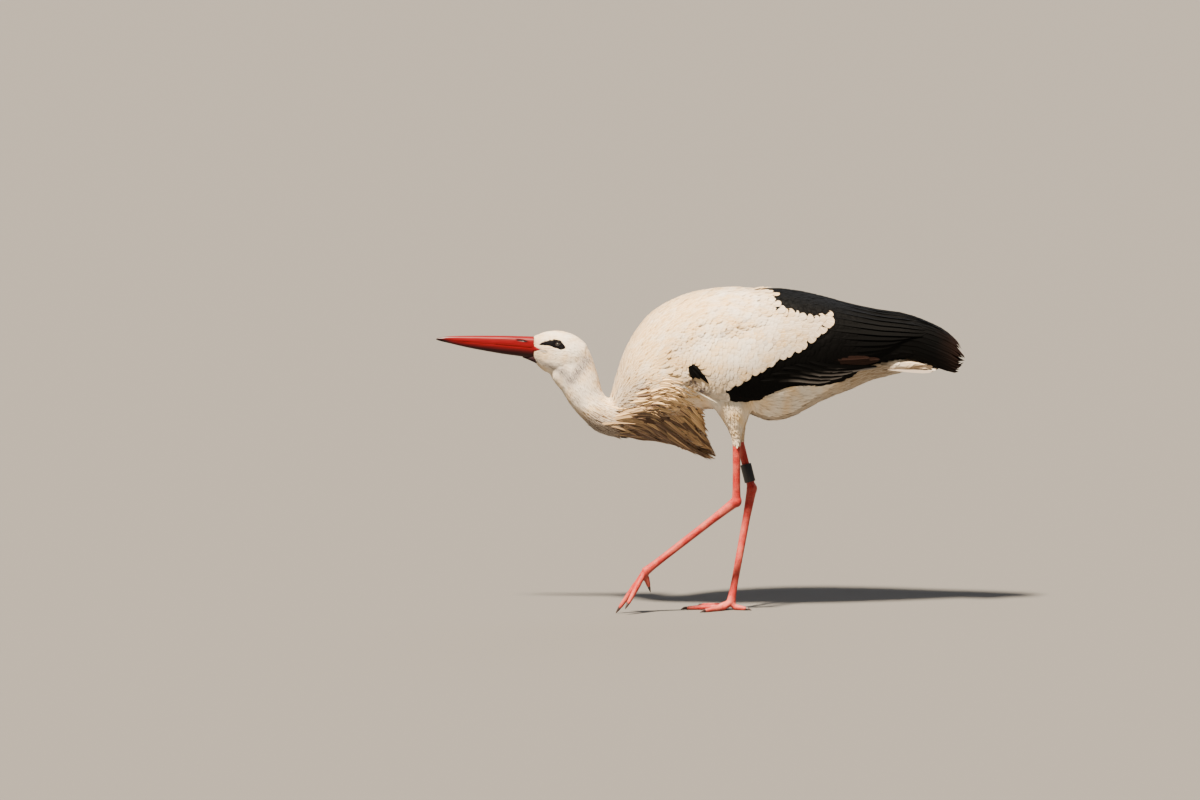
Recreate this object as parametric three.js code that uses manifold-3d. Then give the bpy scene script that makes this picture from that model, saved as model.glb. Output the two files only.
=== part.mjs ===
// A life-size white stork, Ciconia ciconia, standing with its neck bent low and its bill level.
//
// Millimetres, +Z up. The bird faces -X and its left side is -Y. The origin is on the floor,
// below the middle of the whole length. Each body part is one closed solid. A part is a loft
// through sections, and a section is written as two points of the bird's middle plane, one at
// its top and one at its bottom, with the half width between them.

import * as THREE from 'three';
import { mergeVertices } from 'three/addons/utils/BufferGeometryUtils.js';
import Module from 'manifold-3d';

// ---- Driving dimensions -----------------------------------------------------------------------

const GAP = 0.3;                // clearance where two parts meet
const BILL_TIP_X = -490;        // foremost point
const WING_TIP_X = 489;         // rearmost point
const BACK_HEIGHT = 601;        // highest point of the back
const EYE_RADIUS = 6.2;
const EYE_CENTRE = [-264.6, 20.2, 498.2];
const TOE_RADIUS = 5.6;
const MIDDLE_TOE = 82;
const INNER_TOE = 62;
const OUTER_TOE = 68;
const HIND_TOE = 30;
const TOE_SPREAD = 38;          // degrees between the middle toe and each side toe
const CLAW_LENGTH = 11;
const RING_BORE = 8.4;          // radius inside the leg ring
const RING_OUTER = 10.4;
const RING_HEIGHT = 34;
const RING_ABOVE_HOCK = 13;

const LEFT = -1;
const RIGHT = 1;
const sideName = (side) => (side === LEFT ? 'left' : 'right');

// Sections of the trunk, from the breast to the rump:
// x, z of the top; x, z of the bottom; half width; height of the widest place as a share.
const TRUNK = [
  [-165, 402, -166, 370, 22, 0.5],
  [-153.5, 445, -140, 342, 48, 0.5],
  [-131.5, 503, -100, 333, 70, 0.5],
  [-91, 556, -56, 345, 86, 0.5],
  [-31, 588, -9, 372, 97, 0.52],
  [35, BACK_HEIGHT, 43, 377, 100, 0.54],
  [84, BACK_HEIGHT, 92, 366, 99, 0.56],
  [118, 594, 124, 355, 95, 0.6],
  [170, 584, 165, 361, 84, 0.6],
  [231, 570, 220, 390, 66, 0.56],
  [285, 545, 272, 411, 46, 0.54],
  [322, 518, 312, 428, 30, 0.5],
];

// The head, from the bill's root to the nape.
const HEAD = [
  [-309, 511, -309, 468, 12.6, 0.5],
  [-302, 514, -302, 457, 17, 0.54],
  [-287, 519, -287, 445, 22.5, 0.55],
  [-268, 521, -266, 440, 26.5, 0.52],
  [-249, 518, -250, 441, 28.5, 0.5],
  [-231, 510.5, -238, 441, 27.5, 0.5],
  [-213, 496, -226, 446, 22, 0.5],
];

// The neck, from inside the head down and back into the breast. The top is the nape's side.
const NECK = [
  [-213, 495, -272, 464, 24, 0.5],
  [-200.5, 467, -278, 438, 27.5, 0.5],
  [-190.5, 434, -257, 409, 31, 0.5],
  [-184, 410, -241.5, 384, 33, 0.5],
  [-175, 397, -220, 359, 36, 0.5],
  [-158, 394, -192, 334, 41, 0.5],
  [-136, 402, -150, 322, 47, 0.5],
  [-104, 406, -108, 322, 50, 0.5],
];
const NECK_SPLIT = 0.5;         // share of the neck that is the upper length
const NECK_LENGTH = 260;

// The bill, from its root to its tip.
const BILL = [
  [-309.4, 510.6, -309.4, 470, 12.2, 0.55],
  [-340, 511.4, -340, 474.5, 10.8, 0.55],
  [-372, 512, -372, 479, 9.4, 0.55],
  [-427, 512, -427, 489, 6.9, 0.55],
  [-464, 511, -464, 497.6, 4.6, 0.55],
  [-483, 508.4, -483, 502.2, 2.6, 0.5],
  [BILL_TIP_X, 506.6, BILL_TIP_X, 504.8, 0.8, 0.5],
];
const GAPE_AT_ROOT = 489;       // height of the line between the two halves of the bill
const GAPE_MIDDLE = [-427, 500.6];
const GAPE_AT_TIP = 505.4;

// The white tail under the wing tips.
const TAIL = [
  [283, 520, 277, 416, 34, 0.5],
  [316, 508, 313, 426, 33, 0.45],
  [350, 493, 346, 435, 34, 0.4],
  [392, 474, 392, 446, 36, 0.4],
  [426, 460, 425, 449, 36, 0.5],
  [443, 454, 443, 451, 25, 0.5],
];

// The long feathers that hang from the breast and stream back under it.
const PLUMES = [
  [-194, 356, -190, 338, 18, 0.5],
  [-150, 383, -150, 320, 42, 0.5],
  [-96, 396, -98, 314, 48, 0.5],
  [-40, 386, -47, 304, 43, 0.45],
  [-6, 366, -12, 291, 32, 0.4],
  [14, 326, 12, 281, 20, 0.4],
  [24, 297, 22, 282, 11, 0.4],
];

// The feathered thigh of each leg, down to where the bare shin starts.
const THIGH = [
  [-12, 428, 96, 414, 36, 0.5],
  [8, 399, 98, 386, 34, 0.5],
  [30, 373, 85, 362, 27, 0.5],
  [46, 349, 77, 341, 18, 0.5],
  [56, 325, 74, 321, 11, 0.5],
  [57, 312, 73, 309, 8.6, 0.5],
];
const THIGH_PLACE = { [LEFT]: [0, -47], [RIGHT]: [8, 46] };

// The folded wing is a shell over the trunk's side. Each row is one cross section:
// x; z of its upper and lower edges; y of the upper edge; greatest y; y of the lower edge;
// thickness.
const WING = [
  [-76, 486, 462, 78, 83, 80, 7],
  [-46, 528, 440, 66, 96, 87, 11],
  [-2, 562, 420, 48, 104, 90, 14],
  [50, 585, 404, 30, 107, 86, 15],
  [104, 602, 404, 5, 105, 80, 15],
  [165, 599, 424, 2, 95, 73, 15],
  [220, 588, 430, 1.5, 82, 62, 14],
  [276, 573, 446, 1.5, 66, 50, 13],
  [331, 560, 463, 1.5, 50, 40, 12],
  [387, 550, 470, 1.5, 37, 31, 11],
  [442, 527, 450, 1.5, 27, 21, 9],
  [475, 500, 441, 1.5, 19, 13, 7],
  [WING_TIP_X, 474, 458, 1.5, 11, 7, 4],
];

// Where the white coverts end and the black flight feathers start, seen from the side.
const WHITE_EDGE = [
  [104, 616], [127, 598], [144, 578], [149, 567], [183, 561], [214, 550], [244, 555],
  [231, 530], [194, 498], [146, 472], [94, 443], [59, 424], [50, 396],
];

// Each leg: where the shin leaves the thigh, the hock, and the root of the toes.
const LEG = {
  [LEFT]: { shinTop: [65, 46.5, 309], hock: [65, 42, 209], toeRoot: [-104.3, 41, 76.6] },
  [RIGHT]: { shinTop: [73, 46, 309], hock: [95, 38, 223], toeRoot: [56, 10, 13.4] },
};
const SHIN_RADIUS = 7.4;
const HOCK_RADIUS = 10.2;
const TARSUS_RADIUS = 7.2;      // from front to back
const TARSUS_FLATNESS = 0.84;   // its width as a share of that
const TOE_DROOP = 55;           // degrees below level of the lifted foot's front toes

// ---- Materials --------------------------------------------------------------------------------

const material = (colour, roughness) =>
  new THREE.MeshStandardMaterial({ color: colour, roughness, metalness: 0 });

const WHITE_PLUMAGE = material(0xefe7da, 0.9);
const CREAM_PLUMAGE = material(0xd8c3a2, 0.9);
const BLACK_FEATHER = material(0x171316, 0.6);
const RED_BILL = material(0xb02420, 0.35);
const RED_SKIN = material(0xd2685c, 0.55);
const DARK_EYE = material(0x120e0d, 0.08);
const DARK_CLAW = material(0x3a2723, 0.45);
const RING_BLACK = material(0x141416, 0.4);

// ---- Lofting ----------------------------------------------------------------------------------

const wasm = await Module();
wasm.setup();

/** Rows of numbers blended smoothly into `count` rows, evenly spread between the given ones. */
function blend(rows, count, from = 0, to = 1) {
  const places = rows.map((_, i) => i);
  const curve = new THREE.CubicInterpolant(places, rows.flat(), rows[0].length);
  return Array.from({ length: count }, (_, i) => {
    const share = from + ((to - from) * i) / (count - 1);
    return Array.from(curve.evaluate(share * (rows.length - 1)));
  });
}

/** A closed body from rings of points. Point i of a ring faces point n-i, and the ends are flat. */
function loft(rings) {
  const n = rings[0].length;
  const index = [];
  for (let r = 0; r + 1 < rings.length; r++) {
    for (let i = 0; i < n; i++) {
      const a = r * n + i;
      const b = r * n + ((i + 1) % n);
      index.push(a, b, a + n, b, b + n, a + n);
    }
  }
  const cap = (start, flip) => {
    for (let low = 0, high = n - 1; low + 1 < high; low++, high--) {
      const faces = [[low, high, low + 1], [low + 1, high, high - 1]];
      for (const [a, b, c] of faces) {
        if (a !== c && b !== c) index.push(start + (flip ? b : a), start + (flip ? a : b), start + c);
      }
    }
  };
  cap(0, false);
  cap((rings.length - 1) * n, true);
  const shape = new THREE.BufferGeometry();
  shape.setAttribute('position', new THREE.Float32BufferAttribute(rings.flat(2), 3));
  shape.setIndex(index);
  return outward(shape);
}

/** Turns a closed body's faces outward. */
function outward(shape) {
  const at = shape.attributes.position;
  const [a, b, c] = [new THREE.Vector3(), new THREE.Vector3(), new THREE.Vector3()];
  const index = shape.index.array;
  let volume = 0;
  for (let i = 0; i < index.length; i += 3) {
    a.fromBufferAttribute(at, index[i]);
    b.fromBufferAttribute(at, index[i + 1]);
    c.fromBufferAttribute(at, index[i + 2]);
    volume += a.dot(b.cross(c));
  }
  if (volume < 0) index.reverse();
  return shape;
}

/** Rings of full, rounded sections: a superellipse, widest at the row's own height. */
function fullSections(rows, sides, { y = 0, fullness = 2.2 } = {}) {
  const round = (value) => Math.sign(value) * Math.abs(value) ** (2 / fullness);
  return rows.map(([topX, topZ, lowX, lowZ, half, widest]) =>
    Array.from({ length: sides }, (_, i) => {
      const angle = (2 * Math.PI * (i + 0.5)) / sides;
      const reach = Math.cos(angle) > 0 ? 1 - widest : widest;
      const up = widest + reach * round(Math.cos(angle));
      return [lowX + up * (topX - lowX), y + half * round(Math.sin(angle)), lowZ + up * (topZ - lowZ)];
    }));
}

/** One cross section of the folded wing: an arched outer line and a parallel inner one. */
function wingSection([x, high, low, edgeY, wide, lowY, thick], side, steps) {
  const ARCHED = 0.6;           // share of the section that arches over, above the straighter side
  const THINNEST = 1.2;
  const middle = low + 0.42 * (high - low);
  const outer = Array.from({ length: steps + 1 }, (_, i) => {
    const share = i / steps;
    if (share < ARCHED) {
      const turn = (share / ARCHED) * (Math.PI / 2);
      return [edgeY + (wide - edgeY) * Math.sin(turn), middle + (high - middle) * Math.cos(turn)];
    }
    const fall = (share - ARCHED) / (1 - ARCHED);
    return [wide - (wide - lowY) * fall ** 2, middle - (middle - low) * fall];
  });
  const inner = outer.map(([y, z], i) => {
    const [before, after] = [outer[Math.max(i - 1, 0)], outer[Math.min(i + 1, steps)]];
    const [dy, dz] = [after[0] - before[0], after[1] - before[1]];
    const swell = Math.sin((Math.PI * (i + 0.6)) / (steps + 1.2)) ** 0.6;
    const depth = Math.max(THINNEST, thick * swell);
    const size = Math.hypot(dy, dz);
    return [Math.max(y + (depth * dz) / size, edgeY), z - (depth * dy) / size];
  });
  return [...outer, ...inner.reverse()].map(([y, z]) => [x, side * y, z]);
}

/** Rings round a limb's centre line. Each station is x, y, z, half width and half depth. */
function limbSections(stations, sides) {
  const points = stations.map(([x, y, z]) => new THREE.Vector3(x, y, z));
  return stations.map(([, , , across, deep], i) => {
    const before = points[Math.max(i - 1, 0)];
    const after = points[Math.min(i + 1, points.length - 1)];
    const along = after.clone().sub(before).normalize();
    const lateral = new THREE.Vector3(0, 1, 0).addScaledVector(along, -along.y).normalize();
    const depth = along.clone().cross(lateral);
    return Array.from({ length: sides }, (_, k) => {
      const angle = (2 * Math.PI * (k + 0.5)) / sides;
      return points[i].clone()
        .addScaledVector(lateral, across * Math.sin(angle))
        .addScaledVector(depth, deep * Math.cos(angle))
        .toArray();
    });
  });
}

// ---- Cutting ----------------------------------------------------------------------------------

/** A copy of a geometry with only its shared corner positions left. */
function bare(shape) {
  const copy = shape.clone();
  copy.deleteAttribute('normal');
  copy.deleteAttribute('uv');
  return mergeVertices(copy, 1e-4);
}

/** A geometry as a solid that can be cut. */
function solid(shape) {
  const { attributes, index } = bare(shape);
  const vertProperties = new Float32Array(attributes.position.array);
  return new wasm.Manifold(new wasm.Mesh({
    numProp: 3,
    vertProperties,
    triVerts: new Uint32Array(index.array),
  }));
}

/** A geometry whose skin lies one gap further out, to cut its neighbours with. */
function grown(shape, distance = GAP * 1.15) {
  const wide = bare(shape);
  wide.computeVertexNormals();
  const { position, normal } = wide.attributes;
  for (let i = 0; i < position.count; i++) {
    position.setXYZ(i,
      position.getX(i) + distance * normal.getX(i),
      position.getY(i) + distance * normal.getY(i),
      position.getZ(i) + distance * normal.getZ(i));
  }
  return solid(wide);
}

/** The largest loose piece of a cut solid, as a geometry. */
function geometryOf(cut) {
  const pieces = cut.decompose();
  const largest = pieces.reduce((best, piece) => (piece.volume() > best.volume() ? piece : best));
  const { vertProperties, triVerts } = largest.getMesh();
  const shape = new THREE.BufferGeometry();
  shape.setAttribute('position', new THREE.Float32BufferAttribute(vertProperties, 3));
  shape.setIndex(Array.from(triVerts));
  return shape;
}

const cutBy = (shape, ...tools) =>
  geometryOf(tools.reduce((left, tool) => left.subtract(tool), solid(shape)));

/** A plate standing on an outline of the middle plane, wide enough to cut the whole bird. */
function sidePlate(outline) {
  const shape = new THREE.Shape(outline.map(([x, z]) => new THREE.Vector2(x, z)));
  const plate = new THREE.ExtrudeGeometry(shape, { depth: 400, bevelEnabled: false, steps: 1 });
  plate.rotateX(Math.PI / 2);
  plate.translate(0, 200, 0);
  return plate;
}

const FLOOR = solid(new THREE.BoxGeometry(1200, 400, 100).translate(0, 0, -50));

const bird = new THREE.Group();

function add(name, shape, look) {
  const mesh = new THREE.Mesh(shape, look);
  mesh.name = name;
  bird.add(mesh);
}

// ---- Body -------------------------------------------------------------------------------------

const wingForms = {};
for (const side of [LEFT, RIGHT]) {
  wingForms[side] = loft(blend(WING, 24).map((row) => wingSection(row, side, 8)));
}
const wingTools = [LEFT, RIGHT].map((side) => grown(wingForms[side]));

const trunkForm = loft(fullSections(blend(TRUNK, 17), 16, { fullness: 2.4 }));
const trunkTool = grown(trunkForm);
add('trunk', cutBy(trunkForm, ...wingTools), WHITE_PLUMAGE);

const tailForm = loft(fullSections(blend(TAIL, 7), 12));
add('tail', cutBy(tailForm, trunkTool, ...wingTools), WHITE_PLUMAGE);

const headForm = loft(fullSections(blend(HEAD, 11), 16));
const [eyeX, eyeY, eyeZ] = EYE_CENTRE;
const eyeBalls = [LEFT, RIGHT].map((side) =>
  new THREE.SphereGeometry(EYE_RADIUS, 10, 6).translate(eyeX, side * eyeY, eyeZ));
add('head', cutBy(headForm, ...eyeBalls.map((ball) => grown(ball))), WHITE_PLUMAGE);
[LEFT, RIGHT].forEach((side, i) => add(`eye_${sideName(side)}`, eyeBalls[i], DARK_EYE));

const neckGap = GAP / NECK_LENGTH;
const upperNeckForm = loft(fullSections(blend(NECK, 7, 0, NECK_SPLIT - neckGap), 16));
const lowerNeckForm = loft(fullSections(blend(NECK, 7, NECK_SPLIT + neckGap, 1), 16));
add('neck_upper', cutBy(upperNeckForm, grown(headForm)), WHITE_PLUMAGE);
add('neck_lower', cutBy(lowerNeckForm, trunkTool), WHITE_PLUMAGE);

const plumeForm = loft(fullSections(blend(PLUMES, 10), 14));
add('breast_plumes', cutBy(plumeForm, trunkTool, grown(lowerNeckForm)), CREAM_PLUMAGE);

// ---- Bill -------------------------------------------------------------------------------------

const billForm = loft(fullSections(blend(BILL, 11), 12, { fullness: 2.3 }));
const gapeLine = (lift) => [
  [-300, GAPE_AT_ROOT + lift], [GAPE_MIDDLE[0], GAPE_MIDDLE[1] + lift], [-500, GAPE_AT_TIP + lift],
];
const above = [...gapeLine(GAP / 2), [-500, 600], [-300, 600]];
const below = [...gapeLine(-GAP / 2), [-500, 400], [-300, 400]];
add('bill_upper', geometryOf(solid(billForm).intersect(solid(sidePlate(above)))), RED_BILL);
add('bill_lower', geometryOf(solid(billForm).intersect(solid(sidePlate(below)))), RED_BILL);

// ---- Wings ------------------------------------------------------------------------------------

const whiteFront = [...WHITE_EDGE, [-100, 396], [-100, 616]];
const whitePlate = sidePlate(whiteFront);
for (const side of [LEFT, RIGHT]) {
  const whole = solid(wingForms[side]);
  add(`wing_coverts_${sideName(side)}`, geometryOf(whole.intersect(solid(whitePlate))), WHITE_PLUMAGE);
  add(`flight_feathers_${sideName(side)}`, cutBy(wingForms[side], grown(whitePlate)), BLACK_FEATHER);
}

// ---- Legs -------------------------------------------------------------------------------------

/**
 * A tapering toe along a direction, slightly thicker at its joints, with a claw at its end.
 * Past its first joint a planted toe lies on the floor, which flattens its sole.
 */
function toeAndClaw(root, direction, length, planted) {
  const JOINTS = [[0, 1.1], [0.3, 0.9], [0.38, 1], [0.68, 0.86], [1, 0.64]];
  const CLAW = [[0, 2.9], [0.5, 2.4], [1, 1]];
  const SOLE = 0.86;            // share of its radius at which a planted toe's middle lies
  const start = new THREE.Vector3(...root);
  const along = new THREE.Vector3(...direction).normalize();
  const station = (reach, radius) => {
    const point = start.clone().addScaledVector(along, reach);
    const lying = Math.min(reach / (0.3 * length), 1);
    if (planted) point.z += lying * (radius * SOLE - point.z);
    return [...point.toArray(), radius, radius];
  };
  const toe = JOINTS.map(([share, girth]) => station(length * share, TOE_RADIUS * girth));
  const claw = CLAW.map(([share, radius]) => station(length + GAP + CLAW_LENGTH * share, radius));
  return [loft(limbSections(toe, 7)), loft(limbSections(claw, 6))];
}

/** The four toes of a foot: name, length and the way each one points. */
function footPlan(side, droop) {
  const down = THREE.MathUtils.degToRad(droop);
  const spread = THREE.MathUtils.degToRad(TOE_SPREAD);
  const forward = (turn) => [
    -Math.cos(turn) * Math.cos(down), side * Math.sin(turn) * (droop ? 0.5 : 1), -Math.sin(down),
  ];
  const hind = droop ? [0.28, -0.25 * side, -1] : [0.93, -0.36 * side, 0];
  return [
    ['middle', MIDDLE_TOE, forward(0)],
    ['inner', INNER_TOE, forward(-spread)],
    ['outer', OUTER_TOE, forward(spread)],
    ['hind', HIND_TOE, hind],
  ];
}

for (const side of [LEFT, RIGHT]) {
  const name = sideName(side);
  const { shinTop, hock, toeRoot } = LEG[side];
  const mirrored = ([x, y, z]) => [x, side * y, z];
  const [top, joint, root] = [mirrored(shinTop), mirrored(hock), mirrored(toeRoot)];

  const [thighX, thighY] = THIGH_PLACE[side];
  const thighForm = loft(fullSections(blend(THIGH, 8), 14, { y: thighY }));
  thighForm.translate(thighX, 0, 0);
  add(`thigh_${name}`, cutBy(thighForm, trunkTool, ...wingTools), WHITE_PLUMAGE);

  const hockForm = new THREE.SphereGeometry(HOCK_RADIUS, 8, 6).scale(1, 0.92, 1.15)
    .translate(...joint);
  const hockTool = grown(hockForm);
  add(`hock_${name}`, hockForm, RED_SKIN);

  const between = (from, to, share) => from.map((value, i) => value + share * (to[i] - value));
  const shinStations = [[0, 1], [0.5, 0.96], [0.8, 1], [1, 1.15]].map(([share, girth]) =>
    [...between(top, joint, share), SHIN_RADIUS * girth, SHIN_RADIUS * girth]);
  const thighTool = grown(thighForm);
  add(`shin_${name}`, cutBy(loft(limbSections(shinStations, 10)), hockTool, thighTool), RED_SKIN);

  const girths = [[0, 1.35], [0.08, 1.2], [0.25, 1], [0.8, 0.92], [0.93, 1], [1, 1.2]];
  const tarsusStations = girths.map(([share, girth]) =>
    [...between(joint, root, share), TARSUS_RADIUS * girth * TARSUS_FLATNESS, TARSUS_RADIUS * girth]);
  const tarsusForm = loft(limbSections(tarsusStations, 10));
  add(`tarsus_${name}`, cutBy(tarsusForm, hockTool, FLOOR), RED_SKIN);

  const tarsusTool = grown(tarsusForm);
  const droop = side === LEFT ? TOE_DROOP : 0;
  const earlier = [];
  for (const [toeName, length, direction] of footPlan(side, droop)) {
    const [toe, claw] = toeAndClaw(root, direction, length, droop === 0);
    add(`toe_${toeName}_${name}`, cutBy(toe, FLOOR, tarsusTool, ...earlier), RED_SKIN);
    add(`claw_${toeName}_${name}`, cutBy(claw, FLOOR), DARK_CLAW);
    earlier.push(grown(toe));
  }
}

// ---- Leg ring ---------------------------------------------------------------------------------

const ringProfile = [
  [RING_BORE, 0], [RING_OUTER, 0], [RING_OUTER, RING_HEIGHT], [RING_BORE, RING_HEIGHT], [RING_BORE, 0],
].map(([r, z]) => new THREE.Vector2(r, z));
const { shinTop, hock } = LEG[RIGHT];
const shinLine = new THREE.Vector3(...shinTop).sub(new THREE.Vector3(...hock));
const ring = new THREE.LatheGeometry(ringProfile, 12).rotateX(Math.PI / 2);
const upright = new THREE.Vector3(0, 0, 1);
ring.applyQuaternion(new THREE.Quaternion().setFromUnitVectors(upright, shinLine.clone().normalize()));
const ringFoot = new THREE.Vector3(...hock).addScaledVector(shinLine, RING_ABOVE_HOCK / shinLine.length());
ring.translate(...ringFoot.toArray());
add('leg_ring', ring, RING_BLACK);

export default bird;
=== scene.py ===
"""A life-size standing white stork: skin, horn, eyes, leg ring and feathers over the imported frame."""

import math

import bmesh
import bpy
import numpy as np
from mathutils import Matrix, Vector


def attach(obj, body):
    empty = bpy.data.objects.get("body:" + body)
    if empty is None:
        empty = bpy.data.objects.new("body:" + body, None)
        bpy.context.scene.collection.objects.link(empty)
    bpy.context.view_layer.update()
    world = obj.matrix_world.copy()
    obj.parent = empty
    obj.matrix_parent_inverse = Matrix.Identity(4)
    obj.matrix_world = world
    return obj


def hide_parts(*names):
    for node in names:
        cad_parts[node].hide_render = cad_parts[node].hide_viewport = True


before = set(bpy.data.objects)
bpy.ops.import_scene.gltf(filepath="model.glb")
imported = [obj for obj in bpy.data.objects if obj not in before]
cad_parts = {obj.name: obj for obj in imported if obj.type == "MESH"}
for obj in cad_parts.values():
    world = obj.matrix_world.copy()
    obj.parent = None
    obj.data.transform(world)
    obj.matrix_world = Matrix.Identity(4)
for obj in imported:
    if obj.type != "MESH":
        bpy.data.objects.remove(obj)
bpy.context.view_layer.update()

MM = 0.001
LEFT, RIGHT = -1, 1
luck = np.random.default_rng(41)

# ---- Measures, in millimetres: x from bill to tail, z above the floor ---------------------------

# Rows of a part: the upper end of its section (x, z), the lower end (x, z), half its width, and
# how far up the section is widest.
TRUNK = [
    [-165, 402, -166, 370, 22, .5], [-153.5, 445, -140, 342, 48, .5], [-131.5, 503, -100, 333, 70, .5],
    [-91, 556, -56, 345, 86, .5], [-31, 588, -9, 372, 97, .52], [35, 601, 43, 377, 100, .54],
    [84, 601, 92, 366, 99, .56], [118, 594, 124, 355, 95, .6], [170, 584, 165, 361, 84, .6],
    [231, 570, 220, 390, 66, .56], [285, 545, 272, 411, 46, .54], [322, 518, 312, 428, 30, .5],
]
HEAD = [
    [-309, 511, -309, 468, 12.6, .5], [-302, 514, -302, 457, 17, .54],
    [-287, 519, -287, 445, 22.5, .55], [-268, 521, -266, 440, 26.5, .52],
    [-249, 518, -250, 441, 28.5, .5], [-231, 510.5, -238, 441, 27.5, .5],
    [-213, 496, -226, 446, 22, .5],
]
NECK = [
    [-213, 495, -272, 464, 24, .5], [-200.5, 467, -278, 438, 27.5, .5],
    [-190.5, 434, -257, 409, 31, .5], [-184, 410, -241.5, 384, 33, .5],
    [-175, 397, -220, 359, 36, .5], [-158, 394, -192, 334, 41, .5],
    [-136, 402, -150, 322, 47, .5], [-104, 406, -108, 322, 50, .5],
]
BILL = [
    [-309.4, 510.6, -309.4, 470, 12.2, .55], [-340, 511.4, -340, 474.5, 10.8, .55],
    [-372, 512, -372, 479, 9.4, .55], [-427, 512, -427, 489, 6.9, .55],
    [-464, 511, -464, 497.6, 4.6, .55], [-483, 508.4, -483, 502.2, 2.6, .5],
    [-490, 506.6, -490, 504.8, .8, .5],
]
GAPE = [[-490, 505.4], [-427, 500.6], [-300, 489]]        # the line where the two halves meet
TAIL = [
    [283, 520, 277, 416, 34, .5], [316, 508, 313, 426, 33, .45], [350, 493, 346, 435, 34, .4],
    [392, 474, 392, 446, 36, .4], [426, 460, 425, 449, 36, .5], [443, 454, 443, 451, 25, .5],
]
PLUMES = [
    [-194, 356, -190, 338, 18, .5], [-150, 383, -150, 320, 42, .5], [-96, 396, -98, 314, 48, .5],
    [-40, 386, -47, 304, 43, .45], [-6, 366, -12, 291, 32, .4], [14, 326, 12, 281, 20, .4],
    [24, 297, 22, 282, 11, .4],
]
# The breast plumes' flow, from the highest line to the keel: x, z along each.
PLUME_LINES = [
    [[-150, 434], [-124, 440], [-98, 448], [-66, 448], [-34, 438], [-6, 424], [14, 408]],
    [[-158, 404], [-127, 409], [-100, 416], [-72, 425], [-44, 423], [-14, 408], [12, 384]],
    [[-182, 381], [-145, 381], [-112, 393], [-80, 403], [-50, 398], [-20, 377], [12, 347]],
    [[-200, 366], [-160, 364], [-125, 376], [-88, 382], [-54, 366], [-16, 334], [26, 300]],
    [[-210, 354], [-176, 353], [-140, 358], [-100, 356], [-60, 333], [-18, 306], [30, 286]],
    [[-216, 345], [-184, 334], [-153, 324], [-119, 320], [-88, 319], [-40, 309], [22, 283]],
]
THIGH = [
    [-12, 428, 96, 414, 36, .5], [8, 399, 98, 386, 34, .5], [30, 373, 85, 362, 27, .5],
    [46, 349, 77, 341, 18, .5], [56, 325, 74, 321, 11, .5], [57, 312, 73, 309, 8.6, .5],
]
THIGH_PLACE = {LEFT: [0, -47], RIGHT: [8, 46]}            # each one's shift in x, and its middle's y

# Folded wing: x, top, low edge, then how far out it is at the top edge, at its widest and below.
WING = [
    [-76, 486, 462, 78, 83, 80], [-46, 528, 440, 66, 96, 87], [-2, 562, 420, 48, 104, 90],
    [50, 585, 404, 30, 107, 86], [104, 602, 404, 5, 105, 80], [165, 599, 424, 2, 95, 73],
    [220, 588, 430, 1.5, 82, 62], [276, 573, 446, 1.5, 66, 50], [331, 560, 463, 1.5, 50, 40],
    [387, 550, 470, 1.5, 37, 31], [442, 527, 450, 1.5, 27, 21], [475, 500, 441, 1.5, 19, 13],
    [489, 474, 458, 1.5, 11, 7],
]
# Where the wing's white front ends, from its top to its low edge: x, z.
WHITE_EDGE = [
    [104, 616], [127, 598], [144, 578], [149, 567], [183, 561], [214, 550], [244, 555],
    [231, 530], [194, 498], [146, 472], [94, 443], [59, 424], [50, 396],
]
# The hem of the white coverts, where each feather's tip is and which way it points, in degrees.
WHITE_HEM = [
    [106, 612, -12], [124, 601, -14], [142, 586, -16], [149, 570, -10], [166, 563, 2], [186, 560, 4],
    [204, 552, 4], [222, 550, 10], [243, 556, 12], [244, 545, -20], [232, 530, -38], [214, 514, -42],
    [194, 499, -44], [170, 486, -46], [146, 472, -48], [118, 457, -50], [94, 444, -50], [72, 432, -52],
    [59, 424, -46], [53, 410, -20], [50, 399, -14],
]
# Black feathers of the wing's thumb: root x, z, tip x, z and half width.
# The first, the lowest, is a white one.
THUMB = [
    [-24, 424, 31, 395, 1.9], [-27, 470, 14, 432, 5], [-24, 472, 2, 448, 4.6], [-25, 466, -3, 441, 6],
    [-22, 470, -15, 441, 6],
]
# Where the white coverts leave room for them: x, z round the opening.
THUMB_WINDOW = [
    [-25, 470], [-11, 466], [0, 457], [17, 431], [5, 436], [-4, 446], [-6, 442], [0, 431],
    [-24, 437], [-20, 449],
]
EYE = [-264.6, 20.2, 498.2]                              # an eye's middle: x, how far out, z
EYE_RADIUS = 6.2
# Bare skin from the lores round the eye: x, its upper and its lower edge.
FACE = [[-298.8, 497.2, 496.7], [-288.6, 503.3, 496.2], [-279.4, 505.3, 494.7], [-268.3, 507.7, 490.5],
        [-260.5, 504.9, 488.6], [-256, 499.9, 489.7], [-251.4, 494.5, 492.2]]
FACE_PATCH = [[x, upper] for x, upper, _ in FACE] + [[x, lower] for x, _, lower in FACE[::-1]]
# The corner of the mouth, where no feather grows: x, z round it.
MOUTH = [[-318, 499], [-309, 497], [-297.5, 489], [-306, 484.5], [-318, 482]]
# The bare wedge between the bill's base and the throat, in rows like a part's.
GULAR = [
    [-330, 474, -330, 471.4, 1.5, .5], [-320, 476, -320, 467.6, 5.5, .5],
    [-309, 478, -309, 462.5, 9, .5], [-297, 478, -296, 456, 12, .5],
]
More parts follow.
